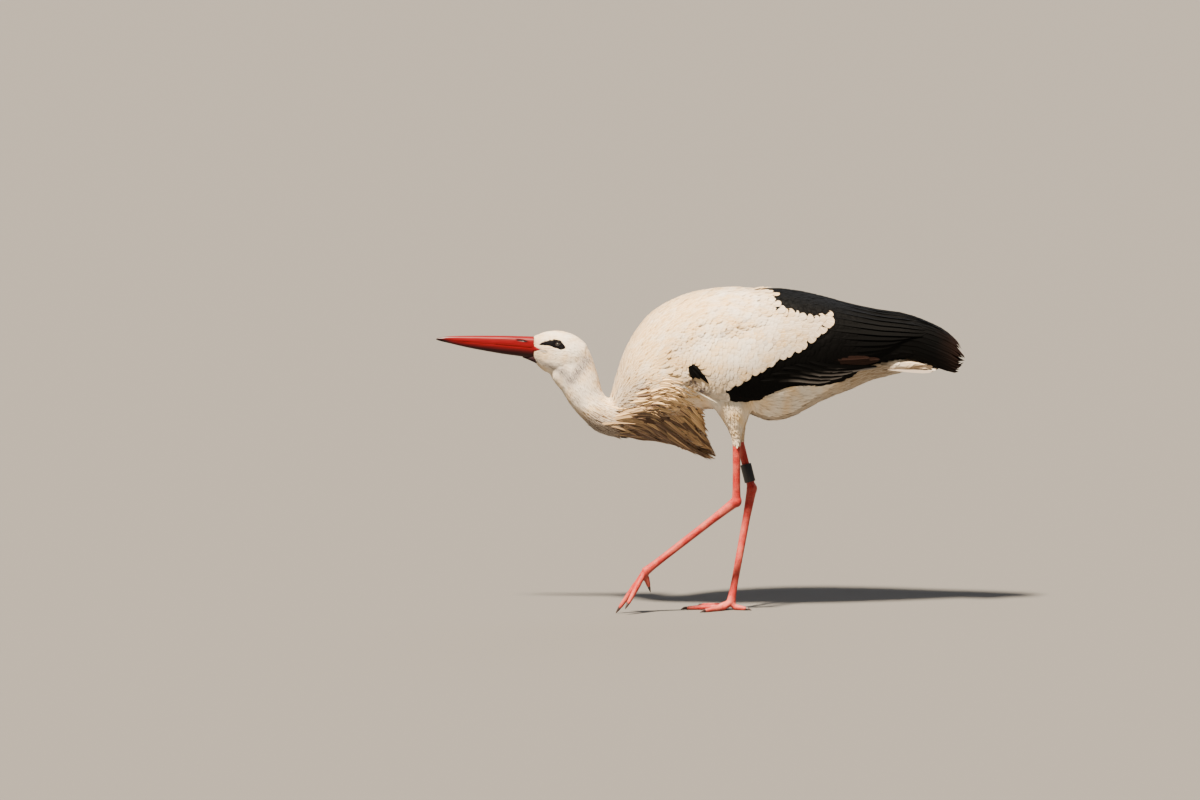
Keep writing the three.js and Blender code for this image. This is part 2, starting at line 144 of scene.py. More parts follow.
# Painted shade of folds and creases on the plumage: how wide, how dark, and the places x, z that they pass.
PAINTED_FOLD_SHADES = [
    (4.5, .95, [[-314, 470], [-300, 465.5], [-285, 459], [-265, 451], [-252, 443]]),
    (9.5, 1, [[-212, 467], [-222, 455], [-234, 439], [-241, 431], [-248, 440], [-256, 447]]),
    (11, .16, [[-223, 463], [-236, 444]]),
    (9, .1, [[-263, 440], [-242, 414], [-230, 396]]),
    (2.2, .95, [[-299, 487.5], [-293, 485.6], [-286, 484.6]]),
    (2.6, .35, [[36, 523], [60, 536], [87, 552]]),
    (2.2, .25, [[88, 503], [110, 508], [137, 514]]),
    (2.2, .9, [[-28, 437], [-8, 426], [12, 412], [34, 402]]),
    (7.0, .15, [[-120, 425], [-80, 438], [-40, 432], [-5, 415]]),
]
# Painted shade on the undertail and belly, in a soil brown: x, z and the share of it.
PAINTED_BELLY_SHADE = [[280, 435, .8], [330, 440, .9], [400, 450, .7], [200, 385, .7], [120, 365, .7], [60, 400, .35],
          [440, 455, .5], [360, 485, 0], [60, 500, 0], [-60, 400, 0], [250, 440, .5], [60, 330, .25],
          [-100, 360, 0], [-280, 460, 0]]

# Each leg's joints, as x, how far out, z, and how far its foot droops, in degrees.
LEG = {
    LEFT: {"top": [65, 46.5, 309], "hock": [65, 42, 209], "foot": [-104.3, 41, 76.6], "droop": 55},
    RIGHT: {"top": [73, 46, 309], "hock": [95, 38, 223], "foot": [56, 10, 13.4], "droop": 0},
}
SHIN_RADIUS, HOCK_RADIUS, TARSUS_RADIUS, TARSUS_FLATNESS = 7.4, 10.2, 7.2, .84
TOE_RADIUS, TOE_SPREAD, CLAW_LENGTH = 5.6, 38, 11
TOES = {"middle": 82, "inner": 62, "outer": 68, "hind": 30}
TOE_JOINTS = [[0, 1.1], [.3, .9], [.38, 1], [.68, .86], [1, .64]]        # share along a toe, girth
RING_BORE, RING_OUTER, RING_HEIGHT, RING_ABOVE_HOCK, RING_RIM = 8.4, 10.4, 34, 13, .3
NOSTRIL_SLOPE = -.12
MOST_TRIANGLES = 190000                                  # in one piece of feathers
ROOT_DRAWS = 700000
ROOM = 1
PLUME_COUNT = 620
HEM_COUNT = 34

# ---- Smooth runs, masks and fields --------------------------------------------------------------


def eased(rows, count):
    """count rows along a table: a Catmull-Rom cubic through its rows, whose first and last steps are
    carried straight on past the ends.
    """
    rows = np.asarray(rows, float)
    held = np.vstack([2 * rows[0] - rows[1], rows, 2 * rows[-1] - rows[-2]])
    places = np.linspace(0, len(rows) - 1, count)
    cell = np.minimum(places.astype(int), len(rows) - 2)
    t = (places - cell)[:, None]
    a, b, c, d = (held[cell + k] for k in range(4))
    return b + t / 2 * (c - a + t * (2 * a - 5 * b + 4 * c - d + t * (3 * (b - c) + d - a)))


def ramp(low, high, value):
    """0 up to low, 1 from high, and 3t² - 2t³ between, with t the share of the way."""
    t = np.clip((value - low) / (high - low), 0, 1)
    return t * t * (3 - 2 * t)


def unit(vectors):
    """Each vector over its own length."""
    return vectors / np.maximum(np.linalg.norm(vectors, axis=-1, keepdims=True), 1e-12)


def within(outline, x, z):
    """True for points inside a closed outline: a line to the right crosses it an odd number of times."""
    x1, z1 = np.array(outline, float).T
    x2, z2 = np.roll(x1, -1), np.roll(z1, -1)
    x, z = x[..., None], z[..., None]
    spans = (z1 > z) != (z2 > z)
    cut = x1 + (z - z1) * (x2 - x1) / np.where(z2 == z1, 1e-9, z2 - z1)
    return (spans & (x < cut)).sum(-1) % 2 == 1


def height_of(line, x):
    """The height at x of a line of points x, z."""
    return np.interp(x, *np.array(line).T)


def to_side(place, side):
    """A place x, out, z as a point, with its way out turned to one side."""
    return np.array([place[0], side * place[1], place[2]], float)


def blended(table, points):
    """The columns of a table whose rows start with a place x, z: a mean in which each row weighs 1
    over the cube of its distance to the point plus 6 mm.
    """
    table = np.asarray(table, float)
    apart = np.hypot(points[..., 0, None] / MM - table[:, 0], points[..., 2, None] / MM - table[:, 1])
    weight = (apart + 6) ** -3.0
    return (weight @ table[:, 2:]) / weight.sum(-1, keepdims=True)


# ---- Meshes -------------------------------------------------------------------------------------


def tube(rings):
    """Points, corners and face starts of a closed tube: quads join each ring (n, m, 3) to the next,
    and one flat face closes each end.
    """
    count, sides = rings.shape[:2]
    i, j = np.arange(count - 1)[:, None] * sides, np.arange(sides)[None]
    k = (j + 1) % sides
    quads = np.stack([i + j, i + sides + j, i + sides + k, i + k], -1).ravel()
    ends = np.concatenate([np.arange(sides), (count - 1) * sides + np.arange(sides)[::-1]])
    starts = np.append(np.arange(0, len(quads) + 1, 4), len(quads) + sides)
    return rings.reshape(-1, 3), np.concatenate([quads, ends]), starts


def hoop(sections):
    """Points, corners and face starts of a closed ring: quads join each of its sections (n, m, 3) to
    the next, and the last to the first.
    """
    count, sides = sections.shape[:2]
    i, j = np.arange(count)[:, None], np.arange(sides)[None]
    here, on, over = i * sides, (i + 1) % count * sides, (j + 1) % sides
    quads = np.stack([here + j, on + j, on + over, here + over], -1)
    return sections.reshape(-1, 3), quads.ravel(), np.arange(0, quads.size, 4)


def joined(shells):
    """Several shells of points, corners and face starts as one: each one's numbers are counted on from
    the last.
    """
    points = np.cumsum([0] + [len(s[0]) for s in shells])
    corners = np.cumsum([0] + [len(s[1]) for s in shells])
    return (np.concatenate([s[0] for s in shells]),
            np.concatenate([s[1] + n for s, n in zip(shells, points)]),
            np.concatenate([s[2] + n for s, n in zip(shells, corners)]))


def mesh_of(name, shell, turn_out=True):
    """A mesh from points, corners and face starts, with its faces turned outwards if asked."""
    points, corners, starts = shell
    mesh = bpy.data.meshes.new(name)
    mesh.vertices.add(len(points))
    mesh.vertices.foreach_set("co", np.ascontiguousarray(points, np.float32).ravel())
    mesh.loops.add(len(corners))
    mesh.loops.foreach_set("vertex_index", corners.astype(np.int32))
    mesh.polygons.add(len(starts))
    mesh.polygons.foreach_set("loop_start", starts.astype(np.int32))
    mesh.update(calc_edges=True)
    if turn_out:
        form = bmesh.new()
        form.from_mesh(mesh)
        bmesh.ops.recalc_face_normals(form, faces=form.faces)
        form.to_mesh(mesh)
        form.free()
    return mesh


def shown(name, mesh, finish, nodes=(), crease=50):
    """The object of a finished mesh: smooth, but sharp where faces meet at more than crease degrees;
    it rides on the body and replaces the nodes named.
    """
    mesh.shade_smooth()
    mesh.set_sharp_from_angle(angle=math.radians(crease))
    thing = bpy.data.objects.new(name, mesh)
    bpy.context.scene.collection.objects.link(thing)
    mesh.materials.append(finish)
    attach(thing, "root")
    if nodes:
        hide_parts(*nodes)
    return thing


def coordinates(mesh):
    """A mesh's points, as one array."""
    points = np.empty(len(mesh.vertices) * 3)
    mesh.vertices.foreach_get("co", points)
    return points.reshape(-1, 3)


def painted(mesh, hues):
    """Keeps a colour, red, green and blue in linear light, on each point of a mesh."""
    layer = mesh.attributes.new("hue", "FLOAT_COLOR", "POINT")
    layer.data.foreach_set("color", np.column_stack([hues, np.ones(len(hues))]).astype(np.float32).ravel())


def fused(name, shells, voxel, rounds):
    """One skin from overlapping shells: their inside is filled with cubes of one size, the outside of
    the fill is kept, and each point goes halfway to the mean of its neighbours some rounds.
    """
    thing = bpy.data.objects.new(name, mesh_of(name, joined(shells)))
    bpy.context.scene.collection.objects.link(thing)
    fill = thing.modifiers.new("fill", "REMESH")
    fill.mode, fill.voxel_size = "VOXEL", voxel * MM
    smooth = thing.modifiers.new("smooth", "SMOOTH")
    smooth.factor, smooth.iterations = .5, rounds
    whole = bpy.data.meshes.new_from_object(thing.evaluated_get(bpy.context.evaluated_depsgraph_get()))
    bpy.data.objects.remove(thing)
    points = coordinates(whole)
    corners = np.empty(len(whole.loops), np.int32)
    whole.loops.foreach_get("vertex_index", corners)
    starts = np.empty(len(whole.polygons), np.int32)
    whole.polygons.foreach_get("loop_start", starts)
    return points, corners, starts


# ---- Forms --------------------------------------------------------------------------------------


def body_rings(rows, count, sides, fullness=2.2, depth=0.0, place=(0, 0)):
    """Rings of a body part, each set in by depth. Round a ring by the angle a, a point lies w + (1 - w
    above or w below) r(cos a) up the section, w being where it is widest, and half the width times
    r(sin a) to the side, where r(v) is v's sign times |v| to the power 2 / fullness.
    """
    row = eased(rows, count)
    top, low, half, widest = row[:, :2], row[:, 2:4], row[:, 4], row[:, 5, None]
    size = np.linalg.norm(top - low, axis=1)
    depth = np.broadcast_to(depth, count)
    sunk = np.minimum(depth, .38 * size)[:, None]
    axis = (low - top) / size[:, None]
    top, low = top + sunk * axis, low - sunk * axis
    half = np.maximum(half - depth, .4 * half)[:, None]
    angle = 2 * np.pi * (np.arange(sides) + .5) / sides
    bend = lambda value: np.sign(value) * np.abs(value) ** (2 / fullness)
    up = widest + np.where(np.cos(angle) > 0, 1 - widest, widest) * bend(np.cos(angle))
    spot = low[:, None] + up[..., None] * (top - low)[:, None]
    side = np.broadcast_to(place[1] + half * bend(np.sin(angle)), up.shape)
    return np.stack([spot[..., 0] + place[0], side, spot[..., 1]], -1) * MM


def limb_rings(stations, sides):
    """Rings round a centre line of stations x, y, z, half width, half depth: width times sin a across
    it, level, and depth times cos a square to both.
    """
    stations = np.asarray(stations, float)
    centre, along = stations[:, :3], unit(np.gradient(stations[:, :3], axis=0))
    across = unit(np.array([0, 1, 0]) - along * along[:, 1:2])
    deep = np.cross(along, across)
    angle = 2 * np.pi * (np.arange(sides) + .5) / sides
    ring = (centre[:, None] + across[:, None] * (stations[:, 3, None] * np.sin(angle))[..., None]
            + deep[:, None] * (stations[:, 4, None] * np.cos(angle))[..., None])
    return ring * MM


WING_RUN = eased(WING, 260)
WING_WIDEST, WING_ARCH = .42, .6        # how far up it is widest, and the share of it that arches


def wing_section(x):
    """The folded wing's section at x: its top, its low edge, the height where it is widest, and how
    far out it is at the top edge, at its widest and below.
    """
    high, low, edge, wide, under = (np.interp(x, WING_RUN[:, 0], WING_RUN[:, k]) for k in range(1, 6))
    return high, low, low + WING_WIDEST * (high - low), edge, wide, under


def wing_at(x, share, out=0.0):
    """A point of the folded wing, and the way out of it, x along the bird and share of the way from
    the top edge down to the low edge. The first 0.6 arches over as a quarter ellipse, and the rest
    drops straight while it draws in by the square of the fall. out is the distance outwards.
    """
    x, share = np.broadcast_arrays(np.asarray(x, float), np.asarray(share, float))

    def spot(x, share):
        high, low, middle, edge, wide, under = wing_section(x)
        turn = np.minimum(share / WING_ARCH, 1) * np.pi / 2
        fall = np.maximum(share - WING_ARCH, 0) / (1 - WING_ARCH)
        y = edge + (wide - edge) * np.sin(turn) - (wide - under) * fall ** 2
        z = middle + (high - middle) * np.cos(turn) - (middle - low) * fall
        return np.stack([x, y, z], -1)

    here = spot(x, share)
    along = spot(x + 2, share) - spot(x - 2, share)
    down = spot(x, share + .01) - spot(x, share - .01)
    outward = unit(np.cross(along, down))
    return here + outward * np.asarray(out)[..., None], outward


def wing_reach(x, z):
    """How far out the wing's surface lies at x, z, and 0 past its edges."""
    high, low, middle, edge, wide, under = wing_section(x)
    arch = np.clip((z - middle) / (high - middle), 0, 1)
    fall = np.clip((middle - z) / (middle - low), 0, 1)
    y = edge + (wide - edge) * np.sqrt(1 - arch ** 2) - (wide - under) * fall ** 2
    return np.where((x > WING[0][0]) & (x < WING[-1][0]) & (z < high) & (z > low), y, 0)


# ---- Markings, the same on skin and feathers ----------------------------------------------------


def colour(code):
    """An sRGB hex code as linear red, green and blue, and 1."""
    part = np.array([int(code[i:i + 2], 16) for i in (0, 2, 4)]) / 255
    return (*np.where(part <= .04045, part / 12.92, ((part + .055) / 1.055) ** 2.4), 1.0)


def pigment(code):
    """The linear red, green and blue of a hex code, as an array to paint points with."""
    return np.array(colour(code)[:3])


WHITE, CREAM, BUFF = pigment("f7ecd8"), pigment("f1cc92"), pigment("a5886a")
BLACK, BROWN, SILVER = pigment("030303"), pigment("2c1d18"), pigment("8d8884")
SHADOW, PAINTED_SHADE_MAUVE, BELLY_SHADE_BROWN, GRIME_AND_SHADE_BROWN = pigment("4a382c"), pigment("463c42"), pigment("94816a"), pigment("4f3d33")
BARE_BLACK, CORAL, THROAT, CLAW = pigment("050406"), pigment("b32620"), pigment("2c1d20"), pigment("3b2a27")
BILL_RED, BILL_DEEP, BILL_TIP = pigment("6a050b"), pigment("2e0408"), pigment("140507")
PUPIL, IRIS, RING_BLACK = pigment("0d0d10"), pigment("1c120d"), pigment("17171a")
WHITE_FRONT = WHITE_EDGE + [[-120, 396], [-120, 616]]
# Cream in the white: x, z and its share.
CREAMY = [
    [-295, 474, 1], [-270, 470, .5], [-280, 514, .6], [-250, 490, .3], [-230, 440, .25], [-200, 400, .35],
    [-190, 370, .6], [-150, 350, .95], [-60, 350, 1], [-160, 440, .9], [-140, 430, .75], [-120, 500, 1],
    [-80, 550, 1], [0, 590, .8], [80, 595, .5], [-40, 500, .6], [60, 500, .3], [100, 530, .4], [40, 400, .3],
    [150, 400, .2], [300, 450, .2],
]
# Grime by the bill; grime and painted shade where the plumes grow and under the tail: x, z and its share.
GRIME_AND_PAINTED_SHADE = [
    [-235, 376, .25], [-222, 362, .5], [-212, 348, .9], [-205, 350, .95], [-200, 338, 1],
    [-190, 342, 1], [-185, 331, 1], [-178, 346, .8], [-165, 333, 1], [-120, 325, 1], [-170, 360, .5],
    [-150, 366, .6], [-100, 385, .4], [-60, 340, 1], [-10, 310, 1], [-205, 385, 0], [-170, 395, .1],
    [-20, 410, .1], [-60, 425, .1], [60, 370, 0], [-303, 474, .35], [-285, 477, .12], [-280, 500, 0],
    [-266, 465, 0], [-240, 430, 0], [-80, 460, 0], [100, 380, 0], [0, 480, 0], [20, 400, 0],
    [-280, 480, 0], [200, 450, 0], [395, 449, .6], [430, 450, .6], [350, 446, .3], [300, 432, .1],
    [400, 467, 0], [360, 470, 0], [440, 466, .1],
]


def mixed(hue, other, share):
    """Two colours mixed by the square roots of their light, so that a half share looks half way."""
    return (np.sqrt(hue) * (1 - share) + np.sqrt(other) * share) ** 2


def clouded(points, size):
    """-1 to 1 in soft patches about size millimetres across: a sine along one slanted way through x, y
    and z times a cosine along another, each bent by a wave along a third.
    """
    x, y, z = points.T / MM / size
    first = np.sin(1.7 * x + z + .9 * y + np.cos(1.3 * z + 1.1 * y))
    return first * np.cos(2.1 * z - x + 1.4 * y + np.sin(1.9 * x - y))


def plumage(points):
    """White turning to cream, to grime and painted shade, below the wing to painted shade in a soil brown,
    and with the folds' painted shade, by the shares the tables give there.
    """
    patch = .45 * clouded(points, 16) + .3 * clouded(points, 37)
    hue = WHITE + (blended(CREAMY, points) + patch[:, None]).clip(0, 1) * (CREAM - WHITE)
    hue = mixed(hue, GRIME_AND_SHADE_BROWN, blended(GRIME_AND_PAINTED_SHADE, points))
    x, y, z = points.T / MM
    # painted shade in a soil brown, only where the point lies under the wing's reach
    under = (np.abs(y) < np.maximum(wing_reach(x, z), 40) + 4)[:, None]
    return folded(points, mixed(hue, BELLY_SHADE_BROWN, blended(PAINTED_BELLY_SHADE, points) * under))


def folded(points, hue):
    """The colour with the folds' painted shade: it falls off from each fold's line as the exponential of
    less the square of the distance over the fold's width.
    """
    x, y, z = points.T / MM
    for width, dark, line in PAINTED_FOLD_SHADES:
        run = eased(line, 40)
        near = np.hypot(x[:, None] - run[:, 0], z[:, None] - run[:, 1]).min(1)
        share = (dark * np.exp(-(near / width) ** 2) * (np.abs(y) > 4))[:, None]
        hue = mixed(hue, PAINTED_SHADE_MAUVE, share)
    return hue


def skin_hues(points):
    """The skin's colours: as the plumage, black under the black feathers and round the eye, and brown
    painted shade under the plumes.
    """
    x, y, z = points.T / MM
    hue = plumage(points)
    reach = wing_reach(x, z)
    wing = (np.abs(y) > .55 * reach) & (reach > 0) & ~within(WHITE_FRONT, x, z)
    hue[wing & (x > 45)] = BLACK
    hue[within(FACE_PATCH, x, z)] = BARE_BLACK
    # painted shade on the skin under the plumes
    shade_under_plumes = ramp(395, 372, z) * ramp(-205, -175, x) * ramp(-40, -60, x)
    hue += shade_under_plumes[:, None] * (SHADOW - hue)
    return hue


# ---- Materials ----------------------------------------------------------------------------------


def put(tree, kind, settings=None, links=None):
    """Adds a node. settings are its own options or its sockets' values, and links are the outputs its
    sockets take.
    """
    node = tree.nodes.new("ShaderNode" + kind)
    for key, value in (settings or {}).items():
        if isinstance(key, str) and hasattr(node, key):
            setattr(node, key, value)
        else:
            node.inputs[key].default_value = value
    for key, source in (links or {}).items():
        tree.links.new(source, node.inputs[key])
    return node


def material(name, **settings):
    """An empty finish: its tree and its shader, with the shader's own sockets set."""
    finish = bpy.data.materials.new(name)
    finish.use_nodes = True
    shader = finish.node_tree.nodes["Principled BSDF"]
    for key, value in settings.items():
        shader.inputs[key.replace("_", " ")].default_value = value
    return finish, finish.node_tree, shader


def own_colour(tree, shade):
    """The colour kept on the points, times a shade."""
    hue = put(tree, "Attribute", {"attribute_name": "hue"})
    return put(tree, "Mix", {"data_type": "RGBA", "blend_type": "MULTIPLY", 0: 1.0},
               {6: hue.outputs["Color"], 7: shade.outputs[0]})


def surface(tree, shader, tone, height, strength, relief):
    """Gives a shader its colour from a mix, and relief millimetres of bump from a height."""
    bump = put(tree, "Bump", {"Strength": strength, "Distance": relief * MM}, {"Height": height})
    tree.links.new(tone.outputs[2], shader.inputs["Base Color"])
    tree.links.new(bump.outputs[0], shader.inputs["Normal"])


def feather_finish(name, pitch, relief, shaft, **settings):
    """Keratin vane: barbs run out from the shaft and forward at 45 degrees, pitch millimetres apart,
    so the stripes follow along less |across|. Each feather is a little lighter or darker, and its
    shaft is a thin line of another shade.
    """
    finish, tree, shader = material(name, **settings)
    vane = put(tree, "Attribute", {"attribute_name": "vane"})
    part = put(tree, "SeparateXYZ", links={0: vane.outputs["Vector"]})
    side = put(tree, "Math", {"operation": "ABSOLUTE"}, {0: part.outputs["X"]})
    slope = put(tree, "Math", {"operation": "SUBTRACT"}, {0: part.outputs["Y"], 1: side.outputs[0]})
    shift = put(tree, "Math", {"operation": "MULTIPLY_ADD", 1: 40.0},
                {0: part.outputs["Z"], 2: slope.outputs[0]})
    wave = put(tree, "Math", {"operation": "MULTIPLY", 1: 2 * math.pi / pitch}, {0: shift.outputs[0]})
    barb = put(tree, "Math", {"operation": "SINE"}, {0: wave.outputs[0]})
    place = put(tree, "TexCoord")
    cloud = put(tree, "TexNoise", {"Scale": 90.0, "Detail": 3.0}, {"Vector": place.outputs["Object"]})
    depth = put(tree, "Math", {"operation": "MULTIPLY_ADD", 1: .5},
                {0: barb.outputs[0], 2: cloud.outputs["Fac"]})
    shade = put(tree, "MapRange", {"From Min": 0.0, "From Max": 1.0, "To Min": .95, "To Max": 1.02},
                {"Value": part.outputs["Z"]})
    stripe = put(tree, "MapRange", {"From Min": -1.0, "From Max": 1.0, "To Min": .94, "To Max": 1.0},
                 {"Value": barb.outputs[0]})
    both = put(tree, "Math", {"operation": "MULTIPLY"}, {0: shade.outputs[0], 1: stripe.outputs[0]})
    tone = own_colour(tree, both)
    line = put(tree, "MapRange", {"From Min": .25, "From Max": .6, "To Min": .5, "To Max": 0.0},
               {"Value": side.outputs[0]})
    last = put(tree, "Mix", {"data_type": "RGBA", 7: colour(shaft)},
               {0: line.outputs[0], 6: tone.outputs[2]})
    surface(tree, shader, last, depth.outputs[0], .6, relief)
    return finish


# White contour feathers: soft, unpigmented keratin with loose barbs, which scatters light and has
# no gloss. Real barbs are 0.3 mm apart and are drawn at 0.9 mm so that they show.
white_feather = feather_finish("white_contour_feather", .9, .08, "eadfcc", Roughness=.85,
                               Sheen_Weight=.12, Sheen_Roughness=.5, Specular_IOR_Level=.25)
# Black flight and covert feathers: keratin full of melanin with tight barbs, drawn at 1.1 mm, so it
# has a dull gloss.
black_feather = feather_finish("black_flight_feather", 1.1, .1, "050405", Roughness=.55,
                               Specular_IOR_Level=.07)
# Long breast plumes: loose silky barbs, drawn at 1 mm, stained by earth, with a brown shadow along
# each shaft.
breast_plume = feather_finish("loose_breast_plume", 1.0, .12, "6b4a33", Roughness=.75,
                              Sheen_Weight=.15, Sheen_Roughness=.5, Specular_IOR_Level=.3)


def leg_finish():
    """Scaly leg skin: small horny plates 2.4 mm across in a net of creases, coral red, paler on the
    plates and darker in the creases.
    """
    plates = 420.0                                       # to the metre
    finish, tree, shader = material("scaly_leg_skin", Roughness=.5, Specular_IOR_Level=.45)
    place = put(tree, "TexCoord")
    stretch = put(tree, "Mapping", {"Scale": (1.0, 1.0, .8)}, {"Vector": place.outputs["Object"]})
    net = put(tree, "TexVoronoi", {"feature": "DISTANCE_TO_EDGE", "Scale": plates},
              {"Vector": stretch.outputs[0]})
    plate = put(tree, "MapRange", {"From Min": 0.0, "From Max": .16}, {"Value": net.outputs["Distance"]})
    each = put(tree, "TexVoronoi", {"Scale": plates}, {"Vector": stretch.outputs[0]})
    blotch = put(tree, "TexNoise", {"Scale": 45.0, "Detail": 5.0}, {"Vector": place.outputs["Object"]})
    hue = put(tree, "Attribute", {"attribute_name": "hue"})
    dark = put(tree, "Mix", {"data_type": "RGBA", "blend_type": "MULTIPLY", 0: 1.0, 7: colour("a8544c")},
               {6: hue.outputs["Color"]})
    tone = put(tree, "Mix", {"data_type": "RGBA"},
               {0: plate.outputs[0], 6: dark.outputs[2], 7: hue.outputs["Color"]})
    share = put(tree, "MapRange", {"From Min": .42, "From Max": .72, "To Min": 0.0, "To Max": .4},
                {"Value": blotch.outputs["Fac"]})
    pale = put(tree, "Mix", {"data_type": "RGBA", 7: colour("d8806c")},
               {0: share.outputs[0], 6: tone.outputs[2]})
    lift = put(tree, "Math", {"operation": "MULTIPLY_ADD", 1: .3},
               {0: each.outputs["Distance"], 2: plate.outputs[0]})
    surface(tree, shader, pale, lift.outputs[0], .7, .35)
    return finish


def bill_finish():
    """Bill horn: glossy red keratin, grown forward in lengthwise streaks 2.4 mm wide and 45 mm long."""
    finish, tree, shader = material("red_bill_horn", Roughness=.42, Specular_IOR_Level=.2, Coat_Weight=.03,
                                    Coat_Roughness=.2)
    place = put(tree, "TexCoord")
    streaks = put(tree, "Mapping", {"Scale": (22.0, 420.0, 420.0)}, {"Vector": place.outputs["Object"]})
    grain = put(tree, "TexNoise", {"Scale": 1.0, "Detail": 4.0}, {"Vector": streaks.outputs[0]})
    shade = put(tree, "MapRange", {"From Min": .3, "From Max": .7, "To Min": .72, "To Max": 1.1},
                {"Value": grain.outputs["Fac"]})
    surface(tree, shader, own_colour(tree, shade), grain.outputs["Fac"], .35, .2)
    rough = put(tree, "MapRange", {"To Min": .22, "To Max": .42}, {"Value": grain.outputs["Fac"]})
    tree.links.new(rough.outputs[0], shader.inputs["Roughness"])
    return finish


def plain_finish(name, size, relief, detail=3.0, strength=.4, lightest=1.15, **settings):
    """A moulded or grown surface in the points' own colour, mottled by size millimetres and raised by
    relief.
    """
    finish, tree, shader = material(name, **settings)
    place = put(tree, "TexCoord")
    cloud = put(tree, "TexNoise", {"Scale": 1 / (size * MM), "Detail": detail},
                {"Vector": place.outputs["Object"]})
    shade = put(tree, "MapRange", {"To Min": .8, "To Max": lightest}, {"Value": cloud.outputs["Fac"]})
    surface(tree, shader, own_colour(tree, shade), cloud.outputs["Fac"], strength, relief)
    return finish


leg_skin, bill_horn = leg_finish(), bill_finish()
# Downy skin under the coat: matt, with soft 4 mm tufts that raise it a little.
downy_skin = plain_finish("downy_skin", 4, .6, 4.0, .5, 1.0, Roughness=.9, Specular_IOR_Level=.25)
# Eye: a wet clear cornea over a dark iris, so it is black with one sharp highlight.
wet_eye = plain_finish("wet_dark_eye", 1.2, .01, Roughness=.06, Coat_Weight=1.0, Coat_Roughness=.02)
# Eyelids: bare black skin, finely creased, with a dull shine.
lid_skin = plain_finish("bare_black_lid", .6, .12, Roughness=.6, Specular_IOR_Level=.05)
# Claws: brown-black horn, worn matt at the tip.
claw_horn = plain_finish("worn_claw_horn", 1.5, .08, Roughness=.42)
# Ring: moulded black plastic, smooth, with a faint haze of scratches.
ring_plastic = plain_finish("moulded_black_plastic", 3.0, .01, Roughness=.34)

# ---- Skin ---------------------------------------------------------------------------------------


def cloak_rings(depth):
    """The bed under both wings, one closed ring for each x: the left wing's line from top to low edge,
    then the right one's from low edge to top, both set in by depth.
    """
    x = np.linspace(-60, 425, 60)
    share = np.linspace(.02, .93, 18)
    left, _ = wing_at(x[:, None], share, -depth)
    ahead = ramp(-60, 0, x)[:, None]
    left[..., 1] = np.maximum(left[..., 1] - 8 * (1 - ahead), .8)
    right = left[:, ::-1] * [1, -1, 1]
    return np.concatenate([left, right], 1) * MM


def toe_paths(side):
    """Each toe of a foot: its name, its root, the way it points, its length, and whether it lies on
    the floor.
    """
    leg = LEG[side]
    down, spread = math.radians(leg["droop"]), math.radians(TOE_SPREAD)
    root = to_side(leg["foot"], side)
    planted = leg["droop"] == 0
    turns = {"middle": 0, "inner": -spread, "outer": spread}
    splay = 1 if planted else .5
    ways = {toe: [-math.cos(t) * math.cos(down), side * math.sin(t) * splay, -math.sin(down)]
            for toe, t in turns.items()}
    ways["hind"] = [.93, -.36 * side, 0] if planted else [.28, -.25 * side, -1]
    return [(toe, root, unit(np.array(ways[toe])), TOES[toe], planted) for toe in TOES]


def toe_station(root, way, length, planted, reach, radius):
    """The toe's middle at a reach along it. A planted toe sinks, over its first 0.3, until its middle
    is 0.86 of its radius above the floor.
    """
    spot = root + way * reach[:, None]
    if planted:
        spot[:, 2] += np.minimum(reach / (.3 * length), 1) * (radius * .86 - spot[:, 2])
    return spot


def leg_shells():
    """Shin, hock, tarsus and toes of both legs as overlapping closed forms."""
    shells = []
    for side in (LEFT, RIGHT):
        top, hock, foot = (to_side(LEG[side][joint], side) for joint in ("top", "hock", "foot"))
        t = np.linspace(-.12, 1, 30)[:, None]
        girth = np.interp(t[:, 0], [0, .5, .8, 1], [1, .96, 1, 1.15]) * SHIN_RADIUS
        shin = np.column_stack([top + t * (hock - top), girth, girth])
        shells.append(tube(limb_rings(shin, 20)))
        t = np.linspace(0, 1, 60)
        girth = np.interp(t, [0, .08, .25, .8, .93, 1], [1.35, 1.2, 1, .92, 1, 1.2]) * TARSUS_RADIUS
        tarsus = np.column_stack([hock + t[:, None] * (foot - hock), girth * TARSUS_FLATNESS, girth])
        shells.append(tube(limb_rings(tarsus, 20)))
        polar = np.linspace(.06, np.pi - .06, 18)
        girth = HOCK_RADIUS * np.sin(polar)
        ball = np.column_stack([np.tile(hock, (len(polar), 1)), girth * .92, girth])
        ball[:, 2] += HOCK_RADIUS * 1.15 * np.cos(polar)
        shells.append(tube(limb_rings(ball, 20)))
        for _, root, way, length, planted in toe_paths(side):
            share = np.linspace(0, 1, 50)
            radius = np.interp(share, *np.array(TOE_JOINTS).T) * TOE_RADIUS
            radius *= np.where(share > .97, .8, 1)
            spot = toe_station(root, way, length, planted, share * length, radius)
            shells.append(tube(limb_rings(np.column_stack([spot, radius, radius]), 16)))
    return shells


flesh = [
    tube(body_rings(TRUNK, 70, 56, 2.4, depth=3.8)),
    tube(body_rings(HEAD, 60, 44, depth=.9)),
    tube(body_rings(NECK, 60, 40, depth=np.linspace(.9, 3.2, 60))),
    tube(body_rings(TAIL, 30, 32, depth=6)),
    tube(body_rings(PLUMES, 30, 24, depth=np.linspace(9, 18, 30))),
    tube(cloak_rings(6.5)),
    *(tube(body_rings(THIGH, 30, 28, depth=np.linspace(5, 2, 30), place=THIGH_PLACE[side]))
      for side in (LEFT, RIGHT)),
]
body_shell = fused("body_fill", flesh, voxel=2.85, rounds=5)
leg_shell = fused("leg_fill", leg_shells(), voxel=1.6, rounds=2)
leg_shell[0][:, 2] = np.maximum(leg_shell[0][:, 2], 0)
skin_mesh = mesh_of("skin", joined([body_shell, leg_shell]), turn_out=False)
skin_points = coordinates(skin_mesh)
hues = skin_hues(skin_points)
